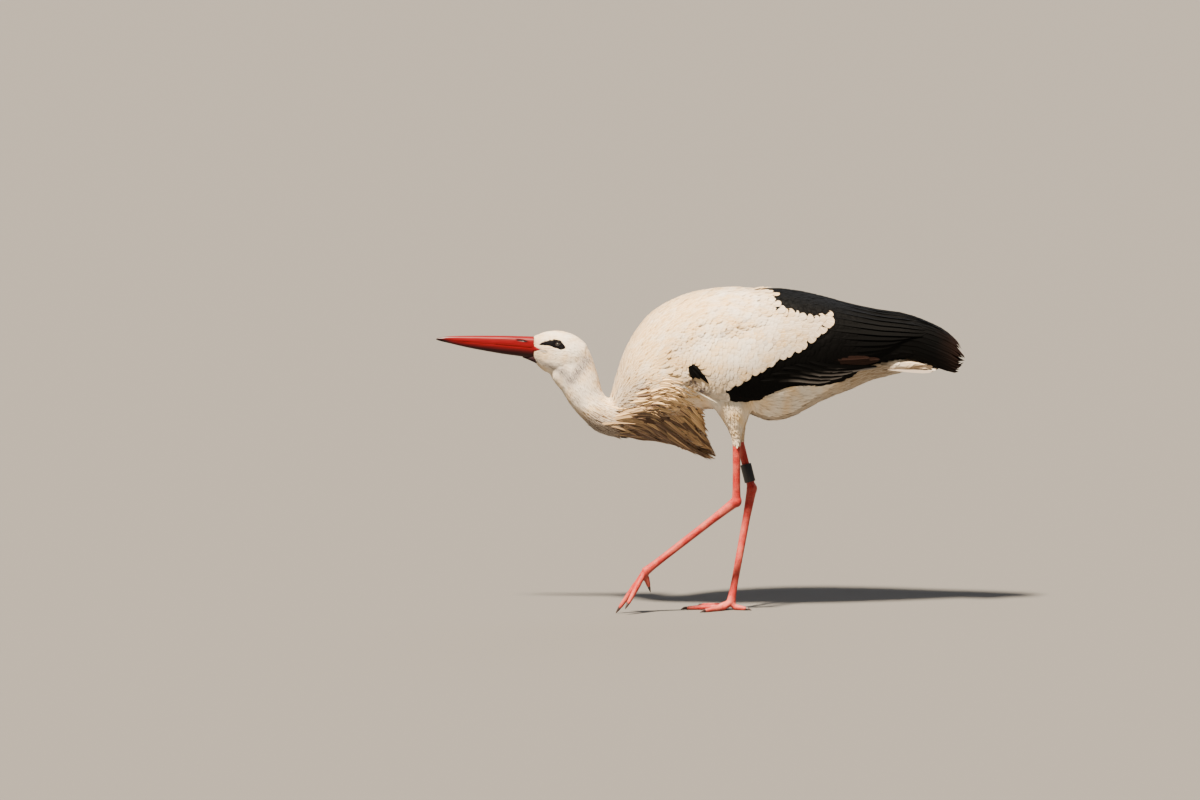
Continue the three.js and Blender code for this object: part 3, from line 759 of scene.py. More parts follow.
hues[len(body_shell[0]):] = CORAL
painted(skin_mesh, hues)
skin = shown("skin", skin_mesh, downy_skin, nodes=[
    "trunk", "head", "neck_upper", "neck_lower",
    *(f"{part}_{side}" for side in ("left", "right") for part in ("thigh", "hock", "shin", "tarsus")),
    *(f"toe_{toe}_{side}" for side in ("left", "right") for toe in TOES),
], crease=180)
skin_mesh.materials.append(leg_skin)
leg_faces = np.arange(len(skin_mesh.polygons)) >= len(body_shell[2])
skin_mesh.polygons.foreach_set("material_index", leg_faces.astype(np.int32))


def brought(points, **ways):
    """Where points come to when a Shrinkwrap with these settings moves them onto or above the skin."""
    mesh = bpy.data.meshes.new("brought")
    mesh.vertices.add(len(points))
    mesh.vertices.foreach_set("co", np.ascontiguousarray(points, np.float32).ravel())
    thing = bpy.data.objects.new("brought", mesh)
    bpy.context.scene.collection.objects.link(thing)
    wrap = thing.modifiers.new("wrap", "SHRINKWRAP")
    wrap.target = skin
    for key, value in ways.items():
        setattr(wrap, key, value)
    found = coordinates(thing.evaluated_get(bpy.context.evaluated_depsgraph_get()).data)
    bpy.data.objects.remove(thing)
    bpy.data.meshes.remove(mesh)
    return found


def settle(points, above=0.0):
    """The skin's nearest point to each point, or the spot that far above it along the skin's smooth
    normal.
    """
    return brought(points, wrap_method="NEAREST_SURFACEPOINT", offset=above,
                   wrap_mode="ABOVE_SURFACE" if above else "ON_SURFACE")


def footing(points):
    """Each point's place on the skin and the skin's normal there."""
    on = settle(points)
    return on, unit(settle(on, 1 * MM) - on)


# ---- Feathers -----------------------------------------------------------------------------------

# The section of a small and of a long feather's blade: across, up.
SMALL = np.array([[-1, 0], [0, 1], [1, 0], [0, -1]], float)
LONG = np.array([[-1, 0], [-.5, .7], [-.06, .8], [0, 1.5], [.06, .8], [.5, .7], [1, 0], [0, -.8]])
# A line x, z through head, neck, trunk and tail, along which the skin is laid flat.
SPINE = eased([[-309, 489], [-268, 481], [-245, 455], [-237, 430], [-212, 390], [-190, 365], [-150, 370],
               [-100, 430], [-31, 480], [84, 480], [231, 480], [322, 475], [450, 465]], 220)


def unwrapped(points):
    """Each point's place on the skin laid flat: u is how far along the spine its nearest place is, and
    v its angle round the spine, both from 0 to 1.
    """
    x, y, z = points.T / MM
    near = np.hypot(x[:, None] - SPINE[:, 0], z[:, None] - SPINE[:, 1]).argmin(1)
    way = unit(np.gradient(SPINE, axis=0))[near]
    up = (z - SPINE[near, 1]) * way[:, 0] - (x - SPINE[near, 0]) * way[:, 1]
    return np.column_stack([near / (len(SPINE) - 1), np.arctan2(y, up) / (2 * np.pi) + .5]) * .98 + .01


def blade_faces(rings, around):
    """Corners and face starts of one blade: a fan at the root, quads between its rings, a fan at the
    tip.
    """
    j = np.arange(around)
    k = (j + 1) % around
    fan = np.column_stack([np.zeros(around, int), 1 + k, 1 + j])
    first = 1 + around * np.arange(rings - 1)[:, None]
    quads = np.stack([first + j, first + k, first + around + k, first + around + j], -1)
    last = 1 + around * (rings - 1)
    end = np.column_stack([np.full(around, last + around), last + j, last + k])
    sizes = np.repeat([3, 4, 3], [around, around * (rings - 1), around])
    corners = np.concatenate([fan.ravel(), quads.ravel(), end.ravel()])
    return corners, np.concatenate([[0], np.cumsum(sizes)[:-1]])


def blade_hues(hues, count, rings, around):
    """Each blade's colours, root to tip, from one for each blade, for each of its rings, or for each
    point of its rings. The root and the tip take the colour next to them.
    """
    shades = np.empty((count, 2 + rings * around, 3))
    hues = np.asarray(hues)
    if hues.ndim == 2:
        shades[:] = hues[:, None]
        return shades
    hues = hues if hues.ndim == 4 else np.repeat(hues[:, :, None], around, 2)
    shades[:, 1:-1] = hues.reshape(count, -1, 3)
    shades[:, 0], shades[:, -1] = hues[:, 0, 0], hues[:, -1, around // 2 - 1]
    return shades


def vanes(name, walk, up, half, profile, thick, cup, hues, finish, nodes=(), tilt=0.0):
    """Feathers as closed lens-shaped blades. walk (n, k + 2, 3) is each shaft from root to tip, up the
    way out there, and half (n, k) half its width at the k rings between. A ring's point lies across
    times half along the side vector, way × up, and thick times its height out, less cup times half
    times across squared, plus tilt times half times across. The blades are split into pieces of
    MOST_TRIANGLES at most.
    """
    count, rings, around = len(walk), half.shape[1], len(profile)
    across, height = profile.T
    way = unit(np.gradient(walk, axis=1))
    side = unit(np.cross(way, up))[:, 1:-1, None]
    out = up[:, 1:-1, None]
    wide = half[..., None]
    rise = thick * height - cup * wide * across ** 2 + tilt * wide * across
    ring = walk[:, 1:-1, None] + side * (wide * across)[..., None] + out * rise[..., None]
    points = np.concatenate([walk[:, :1], ring.reshape(count, -1, 3), walk[:, -1:]], 1)
    corners, starts = blade_faces(rings, around)
    shades = blade_hues(hues, count, rings, around)
    # each point's place on its vane in millimetres, with its blade's own random share
    steps = np.linalg.norm(np.diff(walk, axis=1), axis=-1)
    long = np.concatenate([np.zeros((count, 1)), steps.cumsum(1)], 1)
    on_vane = np.zeros((count, points.shape[1], 3))
    on_vane[:, 1:-1, 0] = (wide * across).reshape(count, -1) / MM
    on_vane[:, 1:-1, 1] = np.repeat(long[:, 1:-1], around, 1) / MM
    on_vane[:, -1, 1] = long[:, -1] / MM
    on_vane[..., 2] = luck.random(count)[:, None]
    # each blade's small patch of the OFBake map, near where its root is on the skin laid flat
    share = long / long[:, -1:]
    patch = np.zeros((count, points.shape[1], 2))
    patch[:, 1:-1, 0] = np.repeat(share[:, 1:-1], around, 1)
    patch[:, 1:-1, 1] = np.tile(across, rings)
    patch[:, -1, 0] = 1
    bake = unwrapped(walk[:, 0])[:, None] + (patch * [1, .5] - [.5, 0]) * .003
    most = MOST_TRIANGLES // (2 * around * rings)
    for number, begin in enumerate(range(0, count, most)):
        part = slice(begin, min(begin + most, count))
        each = np.arange(part.stop - part.start)[:, None]
        shell = (points[part].reshape(-1, 3), (corners + points.shape[1] * each).ravel(),
                 (starts + len(corners) * each).ravel())
        mesh = mesh_of(name, shell, turn_out=False)
        painted(mesh, shades[part].reshape(-1, 3))
        layer = mesh.attributes.new("vane", "FLOAT_VECTOR", "POINT")
        layer.data.foreach_set("vector", on_vane[part].astype(np.float32).ravel())
        flat = mesh.uv_layers.new(name="OFBake")
        flat.uv.foreach_set("vector", bake[part].reshape(-1, 2)[shell[1]].astype(np.float32).ravel())
        title = name if count <= most else f"{name}_{number + 1}"
        shown(title, mesh, finish, nodes if number == 0 else (), crease=75)


# The way the feathers lie: x, z, then the way's x and z.
LIE = [
    [-309, 511, 1, .25], [-290, 518, 1, .1], [-268, 520, 1, -.1], [-245, 514, .8, -.6], [-226, 500, .5, -.9],
    [-214, 480, .25, -1], [-300, 490, 1, -.05], [-280, 485, 1, -.15], [-255, 480, .9, -.35],
    [-240, 465, .5, -.85], [-300, 460, .9, -.45], [-280, 448, .8, -.6], [-262, 440, .5, -.85],
    [-205, 450, .22, -1], [-240, 430, .35, -.95], [-268, 425, .35, -.95], [-188, 415, .2, -1],
    [-215, 400, .5, -.85], [-250, 395, .55, -.85], [-225, 365, .75, -.65], [-190, 365, .9, -.4],
    [-190, 337, .97, -.2], [-150, 330, 1, -.05], [-150, 360, 1, -.05], [-176, 393, .6, -.6],
    [-160, 405, .5, .85], [-150, 450, .45, .9], [-128, 500, .55, .85], [-91, 552, .75, .65],
    [-31, 586, .96, .28], [35, 600, 1, .02], [84, 600, 1, -.05], [-140, 390, .95, .3], [-120, 430, .85, .5],
    [-95, 480, .85, .5], [-60, 520, .92, .38], [-60, 440, 1, .1], [0, 480, 1, 0], [-60, 390, 1, -.05],
    [0, 380, 1, -.02], [60, 375, 1, 0], [120, 358, 1, .05], [180, 370, .97, .22], [231, 392, .95, .3],
    [300, 428, .96, .26], [100, 400, 1, .05], [200, 420, 1, .1], [150, 590, 1, -.1], [300, 540, .95, -.3],
    [440, 455, 1, .1],
]
# Size of the feathers: x, z, then spacing, length, half width and lift at the tip. Those of the
# thighs are this size all over, but for their length.
THIGH_SPACING, THIGH_HALF, THIGH_LIFT = 3.2, 2.1, 2.6
SIZES = [
    [-309, 505, 1.4, 4, .9, 1.0], [-309, 475, 1.4, 4, .9, 1.0], [-285, 516, 1.7, 7, 1.3, 1.2],
    [-285, 480, 1.7, 6, 1.2, 1.2], [-285, 450, 1.8, 8, 1.4, 1.4], [-255, 512, 2.0, 9, 1.6, 1.5],
    [-250, 480, 2.0, 9, 1.6, 1.6], [-225, 480, 2.4, 13, 1.8, 1.8], [-240, 430, 2.6, 17, 2.0, 2.2],
    [-205, 400, 3.0, 22, 2.3, 2.6], [-200, 350, 3.2, 26, 2.4, 2.8], [-150, 345, 3.6, 30, 2.6, 3.2],
    [-80, 350, 4.0, 32, 3, 3.4], [-150, 430, 3.5, 28, 2.8, 3.2], [-110, 520, 4.2, 32, 4, 3.4],
    [-30, 590, 5, 36, 5.6, 3.6], [80, 600, 5, 40, 6.4, 3.6], [0, 450, 4.6, 34, 4.6, 3.6],
    [0, 380, 4.2, 32, 3.4, 3.6], [120, 360, 4.2, 34, 3.4, 3.6], [230, 395, 4.4, 38, 3.6, 3.6],
    [300, 430, 4.8, 40, 4, 3], [400, 450, 5, 38, 4.5, 2],
]


def thigh_share(points):
    """1 on the thighs, 0 on the trunk: it rises as the point nears the thigh's middle line and drops
    below the belly.
    """
    x, y, z = points.T / MM
    row = eased(THIGH, 60)[::-1]
    level = (row[:, 1] + row[:, 3]) / 2
    middle = np.interp(z, level, (row[:, 0] + row[:, 2]) / 2)
    deep = np.interp(z, level, (row[:, 2] - row[:, 0]) / 2)
    wide = np.interp(z, level, row[:, 4])
    off = [np.hypot((x - middle - px) / deep, (y - py) / wide) for px, py in THIGH_PLACE.values()]
    return ramp(1.35, 1.0, np.minimum(*off)) * ramp(432, 405, z)


def lie(points, up):
    """The way the coat lies, square to the way out: the table's way, turned down on the thighs."""
    flat = blended(LIE, points)
    way = np.column_stack([flat[:, 0], np.zeros(len(points)), flat[:, 1]])
    share = thigh_share(points)[:, None]
    way = unit(way) * (1 - share) + np.array([.22, 0, -1]) * share
    return unit(way - up * (way * up).sum(1, keepdims=True))


def scattered(count, faces):
    """Random points spread evenly over some of the skin's faces: a face is drawn by its area, and a
    point in it by two random shares, folded back where they pass 1.
    """
    skin_mesh.calc_loop_triangles()
    triangles = skin_mesh.loop_triangles
    corner = np.empty(len(triangles) * 3, np.int32)
    triangles.foreach_get("vertices", corner)
    owner = np.empty(len(triangles), np.int32)
    triangles.foreach_get("polygon_index", owner)
    a, b, c = skin_points[corner.reshape(-1, 3)[faces[owner]]].swapaxes(0, 1)
    area = np.linalg.norm(np.cross(b - a, c - a), axis=1)
    pick = luck.choice(len(area), count, p=area / area.sum())
    u, v = luck.random((2, count, 1))
    u, v = np.where(u + v > 1, 1 - u, u), np.where(u + v > 1, 1 - v, v)
    return a[pick] + u * (b - a)[pick] + v * (c - a)[pick]


def thinned(points, spacing):
    """One point kept in each cube of space, the cubes' side being the spacing there, rounded to a step
    of a sixth.
    """
    level = np.round(np.log(spacing) / np.log(1.16))
    size = 1.16 ** level * 1.2 * MM
    cell = np.column_stack([np.floor(points / size[:, None]), level]).astype(int)
    _, first = np.unique(cell, axis=0, return_index=True)
    return np.sort(first)


def walked(roots, length, lift, shares, wander):
    """Shafts that lie on the skin: from each root the walk goes on by its share of the length along
    the lie of the coat, comes back to the skin, and is raised by its share of the lift.
    """
    here, up = footing(roots)
    way = lie(here, up)
    across = np.cross(way, up)
    way = unit(way + across * wander[:, None])
    walk, ups = [here], [up]
    for step in np.diff(shares):
        on, next_up = footing(here + way * (length * step)[:, None])
        # a sharp fold in the skin doesn't turn the feather: it flies straight on over it
        fold = ((up * next_up).sum(1) < .5)[:, None]
        flown = here + way * (length * step)[:, None]
        here, up = np.where(fold, flown, on), np.where(fold, up, next_up)
        turned = unit(way + .6 * (lie(here, up) + across * wander[:, None]))
        way = unit(turned - up * (turned * up).sum(1, keepdims=True))
        walk.append(here)
        ups.append(up)
    walk, ups = np.stack(walk, 1), np.stack(ups, 1)
    return walk + ups * (lift[:, None] * shares ** .8)[..., None], ups


def coat(name, roots):
    """Small contour feathers from roots on the skin, rounded, or lance-shaped on the neck and below."""
    size = blended(SIZES, roots) * MM
    thigh = thigh_share(roots)
    shorter = ramp(300, 420, roots[:, 2] / MM) * 12 + 11
    length = size[:, 1] * (1 - thigh) + shorter * MM * thigh
    wide = size[:, 2] * (1 - thigh) + THIGH_HALF * MM * thigh
    lift = size[:, 3] * (1 - thigh) + THIGH_LIFT * MM * thigh
    jitter = luck.normal(1, .1, len(roots)).clip(.75, 1.25)
    shares = np.array([0, .2, .55, .82, .95, 1])
    lift = lift * luck.normal(1, .12, len(roots)).clip(.7, 1.3)
    wander = luck.normal(0, .09, len(roots))
    walk, ups = walked(roots, length * jitter, lift, shares, wander)
    # over the wing's top the coat lies on the coverts, and it never climbs the wing's low edge
    x, y, z = walk[:, 2].T / MM
    reach = wing_reach(x, z)
    on_wing = (reach > 0) & (reach - np.abs(y) < 14) & (np.abs(y) > 40)
    x, y, z = np.moveaxis(walk, -1, 0) / MM
    high, low, *_ = wing_section(x)
    depth = wing_reach(x, z) - np.abs(y)
    climbs = ((depth > -6) & (depth < 15) & (z > low - 1) & (z < (low + high) / 2))[:, 1:].any(1)
    # none reaches over the bare face or off the white front onto the black of the wing
    bald = within(FACE_PATCH, x, z).any(1) | within(MOUTH, x, z).any(1)
    x, z = x[:, -1], z[:, -1]
    off_white = (reach > 0) & (x > 100) & (z > 470) & ~within(WHITE_FRONT, x, z)
    keep = ~(climbs & (roots[:, 0] > -50 * MM)) & ~bald & ~off_white
    walk = walk + ups * (3 * MM * on_wing)[:, None, None] * shares[:, None]
    walk, ups, roots, wide = walk[keep], ups[keep], roots[keep], wide[keep]
    pointed = ramp(-120, -200, roots[:, 0] / MM)[:, None] * ramp(500, 440, roots[:, 2] / MM)[:, None]
    pointed = np.maximum(pointed, .5 * ramp(440, 400, roots[:, 2] / MM)[:, None])
    fine = ramp(-185, -225, roots[:, 0] / MM)[:, None]
    pointed = np.maximum(pointed, fine)
    wide = wide * (1 - .3 * fine[:, 0])
    round_tip, lance = np.array([.6, 1, .95, .58]), np.array([.7, 1, .68, .26])
    half = wide[:, None] * (round_tip * (1 - pointed) + lance * pointed)
    hues = plumage(walk[:, 1:-1].reshape(-1, 3)).reshape(-1, 4, 3)
    hues = hues * luck.normal(1, .015, (len(roots), 1, 1)).clip(.95, 1.04)
    # painted shade: each feather darker towards its root, where the feathers over it shade it
    hues = hues * np.array([.86, .9, .96, 1.0])[:, None]
    thick = .12 * MM + .03 * wide[:, None, None]
    vanes(name, walk, ups, half, SMALL, thick, .06, hues, white_feather)


# Where the wing's coverts start: x, z.
SHOULDER = [[-76, 452], [-20, 505], [39, 524], [87, 551], [104, 590], [130, 640]]


def covered(points):
    """True where the wing's own feathers lie over a point of the skin: under its surface, below the
    shoulder feathers and above its low edge.
    """
    x, y, z = points.T / MM
    reach = wing_reach(x, z)
    sunk = reach - np.abs(y)
    over = (reach > 0) & (sunk > -4) & (sunk < 80) & (x > -62)
    return over & (z < height_of(SHOULDER, x)) & (z > wing_section(x)[1] + 3)


def coat_roots():
    """Where the small feathers grow: all over the skin but for the legs, the bare face, the plumes'
    bed, the tail's and what the wings cover.
    """
    pool = scattered(ROOT_DRAWS, ~leg_faces)
    x, y, z = pool.T / MM
    ruff = (x > -176) & (x < -58) & (z < 380) & (np.abs(y) < 62)
    rump = (x > 396) | ((x > 300) & (z > wing_section(x)[1] - 4))
    bare = within(FACE_PATCH, x, z) | within(MOUTH, x, z) | (x < -311.5) | (z < 314) | ruff | rump
    pool = pool[~bare & ~covered(pool)]
    thigh = thigh_share(pool)
    spacing = blended(SIZES, pool)[:, 0] * (1 - thigh) + THIGH_SPACING * thigh
    return pool[thinned(pool, spacing * ROOM)]


roots = coat_roots()
x, _, z = roots.T / MM
on_head = (x < -212) & (z > 440)
on_neck = ~on_head & (x < -118) & (z < 440)
coat("head_feathers", roots[on_head])
coat("neck_feathers", roots[on_neck])
coat("body_feathers", roots[~on_head & ~on_neck])

# ---- Wings --------------------------------------------------------------------------------------


def wing_walk(side, x0, s0, x1, s1, out0, out1, shares):
    """Shafts laid on a folded wing, straight from one place of it, x and share down, to another, and
    from one depth to another.
    """
    t = shares[None]
    x0, s0, x1, s1, out0, out1 = (np.asarray(v, float)[:, None] for v in (x0, s0, x1, s1, out0, out1))
    x = x0 + (x1 - x0) * t
    share = s0 + (s1 - s0) * t
    spot, out = wing_at(x, share, out0 + (out1 - out0) * t)
    turn = np.array([1, side, 1])
    return spot * turn * MM, out * turn


def share_at(x, z):
    """How far down the wing's surface the place x, z is: the arch's angle over 90 degrees, of the
    first 0.6, or the fall's share of the rest.
    """
    high, low, middle, *_ = wing_section(x)
    arch = np.arccos(np.clip((z - middle) / (high - middle), 0, 1)) / (np.pi / 2) * WING_ARCH
    fall = WING_ARCH + (1 - WING_ARCH) * (middle - z) / (middle - low)
    return np.where(z > middle, arch, fall)


def hem_rows():
    """The hem of the white coverts, feathers at uneven steps along it: their roots x, share down,
    their tips x, share down, half widths, and depths at root and tip.
    """
    line = eased(WHITE_HEM, 6 * HEM_COUNT + 1)
    step = (np.arange(HEM_COUNT) + luck.uniform(.1, .9, HEM_COUNT)) * 6
    hem = line[step.astype(int)]
    turn = np.radians(hem[:, 2] + luck.normal(0, 7, HEM_COUNT))
    run = luck.uniform(28, 38, HEM_COUNT)[:, None]
    back = hem[:, :2] - run * np.column_stack([np.cos(turn), np.sin(turn)])
    ends = hem[:, :2] + luck.normal(0, 2.3, (HEM_COUNT, 2))
    wide, rise = luck.uniform(7.2, 10, HEM_COUNT), luck.normal(-.1, .3, HEM_COUNT)
    return (back[:, 0], share_at(*back.T), ends[:, 0], share_at(*ends.T), wide,
            np.full(HEM_COUNT, -3.8), rise)


def coverts(side, name):
    """Rows of wing coverts: one root for each step along the wing and across it, every other row set
    off by half a step. Length grows towards the tail. White where the tip ends inside the white
    front, with a row of rounded feathers along its hem, and black elsewhere, with a window for the
    thumb's black feathers.
    """
    along, across = np.arange(-84, 262, 6.0), np.arange(.0, 1.0, .03)
    x0, s0 = np.meshgrid(along, across, indexing="ij")
    s0 = s0 + .015 * (np.arange(len(along)) % 2)[:, None]
    x0 = (x0 + luck.normal(0, .5, x0.shape)).ravel()
    s0 = (s0 + luck.normal(0, .002, s0.shape)).ravel()
    length = np.interp(x0, [-84, 0, 100, 260], [20, 32, 44, 60]) * luck.normal(1, .05, len(x0))
    x1, s1 = x0 + length, s0 + .012 * luck.normal(.6, .7, len(x0))
    root, _ = wing_at(x0, s0)
    tip, _ = wing_at(x1, np.clip(s1, 0, 1))
    middle, _ = wing_at(x1 - 8, s1)
    black = ~within(WHITE_FRONT, tip[:, 0], tip[:, 2])
    brink = eased(WHITE_EDGE, 200)
    inside = ~black & (np.hypot(tip[:, :1] - brink[:, 0], tip[:, 2:] - brink[:, 1]).min(1) > 7)
    half = np.interp(x0, [-84, 0, 100, 260], [4.5, 5.6, 6.6, 8]) * (1 + .35 * ramp(.4, .8, s0))
    window = within(THUMB_WINDOW, middle[:, 0], middle[:, 2])
    for shift in (2, -14):
        window = window | within(THUMB_WINDOW, tip[:, 0] + shift, tip[:, 2])
    hidden = root[:, 2] > height_of(SHOULDER, x0) + 14
    fits = (s0 < .995) & (x1 < 300) & ~hidden
    shares = np.array([0, .22, .55, .8, .92, .98, 1])
    shape = np.array([.5, .9, 1, .86, .5])
    finishes = {"white": (white_feather, (f"wing_coverts_{name}",)), "black": (black_feather, ())}
    for what, pick in (("white", inside & fits & ~window), ("black", black & fits)):
        n = pick.sum()
        x2, s2, x3, s3, wide = x0[pick], s0[pick], x1[pick], s1[pick], half[pick]
        deep, rise = np.full(n, -4.6), luck.normal(-1, .15, n)
        rows = x2, s2, x3, s3, wide, deep, rise
        if what == "white":
            rows = (np.append(row, more) for row, more in zip(rows, hem_rows()))
        x2, s2, x3, s3, wide, deep, rise = rows
        walk, up = wing_walk(side, x2, s2, x3, s3, deep, rise, shares)
        if what == "white":
            hues = plumage(walk[:, 2])[:, None]
            hues = hues * luck.normal(1, .012, (len(walk), 1, 1)).clip(.96, 1.03)
            # painted shade: each covert darker towards its root, where the feathers over it shade it
            hues = hues * np.array([.78, .83, .9, .97, 1.0])[:, None]
        else:
            hues = BLACK * luck.normal(1, .15, (n, 1)).clip(.6, 1.5)
        finish, nodes = finishes[what]
        vanes(f"{what}_coverts_{name}", walk, up, wide[:, None] * shape * MM, SMALL, .3 * MM, .05, hues,
              finish, nodes, tilt=-.04 * side)


def thumb(side, name):
    """The thumb's short black feathers, laid over the coverts at the wing's bend, and a white one
    below.
    """
    shares = np.array([0, .1, .3, .55, .75, .9, 1])
    x0, z0, x1, z1, half = np.array(THUMB, float).T
    deep, rise = np.full(len(x0), -3), np.full(len(x0), .9)
    walk, up = wing_walk(side, x0, share_at(x0, z0), x1, share_at(x1, z1), deep, rise, shares)
    wide = half[:, None] * np.array([.7, .95, 1, .8, .45]) * MM
    hues = np.where(np.arange(len(x0))[:, None] == 0, WHITE, BLACK)
    vanes(f"thumb_feathers_{name}", walk, up, wide, LONG, .4 * MM, .1, hues, black_feather,
          tilt=-.05 * side)


def flight_feathers(side, name):
    """Long black blades in groups, each a row of roots, tips and depths: secondaries along the low
    edge, a block of black where they start, five laid over them with worn silver margins, primaries
    to the wing tip, browned and ragged at their ends, and tertials over the back.
    """
    shares = np.array([0, .06, .14, .26, .4, .55, .7, .82, .91, .97, 1])
    rings = shares[1:-1]

    def group(count, outline, worn=0.0, brown=0.0, **rows):
        """Blades at even steps through the rows: half, x0, s0, x1, s1, out0, out1."""
        steps = np.linspace(0, 1, count)
        at = {key: np.interp(steps, np.linspace(0, 1, len(row)), row) for key, row in rows.items()}
        return at | {"outline": np.array(outline), "worn": worn, "brown": brown}

    def shares_of(*places):
        """How far down the wing each place x, z is."""
        return share_at(*np.array(places, float).T)

    groups = [
        group(15, [.35, .7, .95, 1, 1, 1, .95, .8, .5], half=[15, 13, 12, 12], x0=[-5, 55, 115, 175],
              s0=[.8, .76, .72, .68], x1=[112, 185, 275, 392], s1=[.87, .91, .93, .86],
              out0=[-7], out1=[-1.6, -2.1]),
        group(7, [.5, .8, 1, 1, 1, 1, 1, .9, .62], half=[9, 9], x0=[0, 74], s0=[.86, .84],
              x1=[74, 125], s1=shares_of([74, 406], [125, 405]), out0=[-5], out1=[-1.0]),
        group(5, [.4, .7, .9, 1, 1, .95, .85, .66, .4], worn=.9, half=[7, 6.5],
              x0=[105, 125, 145, 170, 195],
              s0=shares_of([105, 438], [125, 450], [145, 461], [170, 468], [195, 474]),
              x1=[240, 262, 280, 302, 325],
              s1=shares_of([240, 436], [262, 443], [280, 451], [302, 457], [325, 459]),
              out0=[-.4], out1=[.9, 1.1]),
        group(13, [.35, .7, .95, 1, .95, .8, .62, .42, .22], brown=.8, half=[11, 11.5],
              x0=[185, 235], s0=[.14, .72], x1=[452, 468, 480, 488, 489, 486, 474],
              s1=[0, .06, .16, .36, .58, .78, .94], out0=[-5], out1=[.5, .5, 0, -1.5, -2.5, -3]),
        group(4, [.35, .7, .95, 1, .98, .9, .78, .55, .3], brown=.8, half=[12, 12], x0=[130, 240],
              s0=[.02], x1=[415, 440, 460, 476], s1=[0, .01, .02], out0=[-4], out1=[.3, 0]),
        group(11, [.3, .6, .85, 1, 1, 1, .95, .78, .5], half=[16, 20, 22, 20, 16], x0=[105, 150],
              s0=[.04, .66], x1=[392, 424, 418, 372, 335], s1=[.04, .2, .36, .54, .72],
              out0=[-5], out1=[-1.4]),
        group(2, [.4, .7, .9, 1, 1, 1, .9, .72, .45], brown=.9, half=[8, 8], x0=[190, 205],
              s0=[.7, .76], x1=[312, 328], s1=shares_of([312, 476], [328, 472]),
              out0=[-3.2], out1=[.5]),
    ]
    walks, ups, halves, hues = [], [], [], []
    for row in groups:
        n = len(row["half"])
        ragged = luck.normal(0, 3.5, n) * (row["brown"] > 0)
        walk, up = wing_walk(side, row["x0"], row["s0"], row["x1"] + ragged, row["s1"],
                             row["out0"], row["out1"], shares)
        walk[..., 0] = np.minimum(walk[..., 0], 488 * MM)
        walks.append(walk)
        ups.append(up)
        halves.append(row["half"][:, None] * row["outline"] * MM)
        hue = BLACK * luck.normal(1, .1, (n, 1, 1, 1)) * np.ones((1, len(rings), len(LONG), 1))
        x = walk[:, 1:-1, 0, None] / MM
        tips = ramp(440, 488, x) * .6 if n > 2 else row["brown"] * ramp(.35, .6, rings)[None, :, None]
        hue = hue + tips[..., None] * (BROWN - hue)
        margin = ramp(.1, .7, -side * LONG[:, 0]) * ramp(.35, .55, rings)[:, None] * row["worn"]
        hues.append(hue + margin[..., None] * (SILVER - hue))
    vanes(f"flight_blades_{name}", np.concatenate(walks), np.concatenate(ups), np.concatenate(halves), LONG,
          .4 * MM, .035, np.concatenate(hues), black_feather, (f"flight_feathers_{name}",),
          tilt=-.04 * side)


for side, name in ((LEFT, "left"), (RIGHT, "right")):
    coverts(side, name)
    thumb(side, name)
    flight_feathers(side, name)

# ---- Tail ---------------------------------------------------------------------------------------


def tail_feathers():
    """Twelve tail feathers in a fan: across it, by t from -1 to 1, they splay from 10 t to 30 t out,
    every other one a little lower, and their tips draw back by the power 1.5 of |t|.
    """
    count, root = 12, 280
    t = np.linspace(-1, 1, count)
    shares = np.array([0, .1, .3, .55, .75, .88, .96, 1])
    tip = 443 - 14 * np.abs(t) ** 1.5
    fall = (-14 + 2 * np.abs(t))[:, None] * shares - (np.arange(count) % 2 * .5)[:, None]
    walk = np.stack([
        root + (tip - root)[:, None] * shares,
        (10 * t)[:, None] + (20 * t)[:, None] * shares,
        (468 - 6 * np.abs(t))[:, None] + fall,
    ], -1) * MM
    up = unit(np.array([0.1, 0, 1])) + np.stack([0 * t, .35 * t, 0 * t], -1)[:, None]
    up = unit(np.broadcast_to(up, walk.shape))
    half = 15 * np.array([.5, .8, .95, 1, .9, .6]) * np.ones((count, 1)) * MM
    # the outer feathers of the fan brown: grime and painted shade
    hues = WHITE + .8 * ramp(.35, .9, np.abs(t))[:, None] * (GRIME_AND_SHADE_BROWN - WHITE)
    vanes("tail_feathers", walk, up, half, LONG, .5 * MM, .08, hues, white_feather, ("tail",))


tail_feathers()

# ---- Breast plumes ------------------------------------------------------------------------------


def on_lines(u, v):
    """The place x, z at u along the plume lines and v down them, both from 0 to 1: cubics along each
    line, and then from line to line.
    """
    lines = np.stack([eased(line, 60) for line in PLUME_LINES])
    across = np.stack([eased(lines[:, k], 60) for k in range(60)], 1)
    i, j = np.clip(v, 0, .9999) * 59, np.clip(u, 0, .9999) * 59
    a, b = i.astype(int), j.astype(int)
    di, dj = (i - a)[..., None], (j - b)[..., None]
    top = across[a, b] * (1 - dj) + across[a, b + 1] * dj
    low = across[a + 1, b] * (1 - dj) + across[a + 1, b + 1] * dj
    return top * (1 - di) + low * di


def beside(x, z, side):
    """How far out the skin lies at x, z on one side, looking along y, or nothing where a look misses
    it.
    """
    away = 400
    start = np.column_stack([x.ravel(), np.full(x.size, side * away), z.ravel()]) * MM
    found = brought(start, wrap_method="PROJECT", use_project_y=True,
                    use_negative_direction=side > 0, use_positive_direction=side < 0)
    out = found[:, 1] * side / MM
    return np.where((out < away - 10) & (out > 0), out, np.nan).reshape(x.shape)


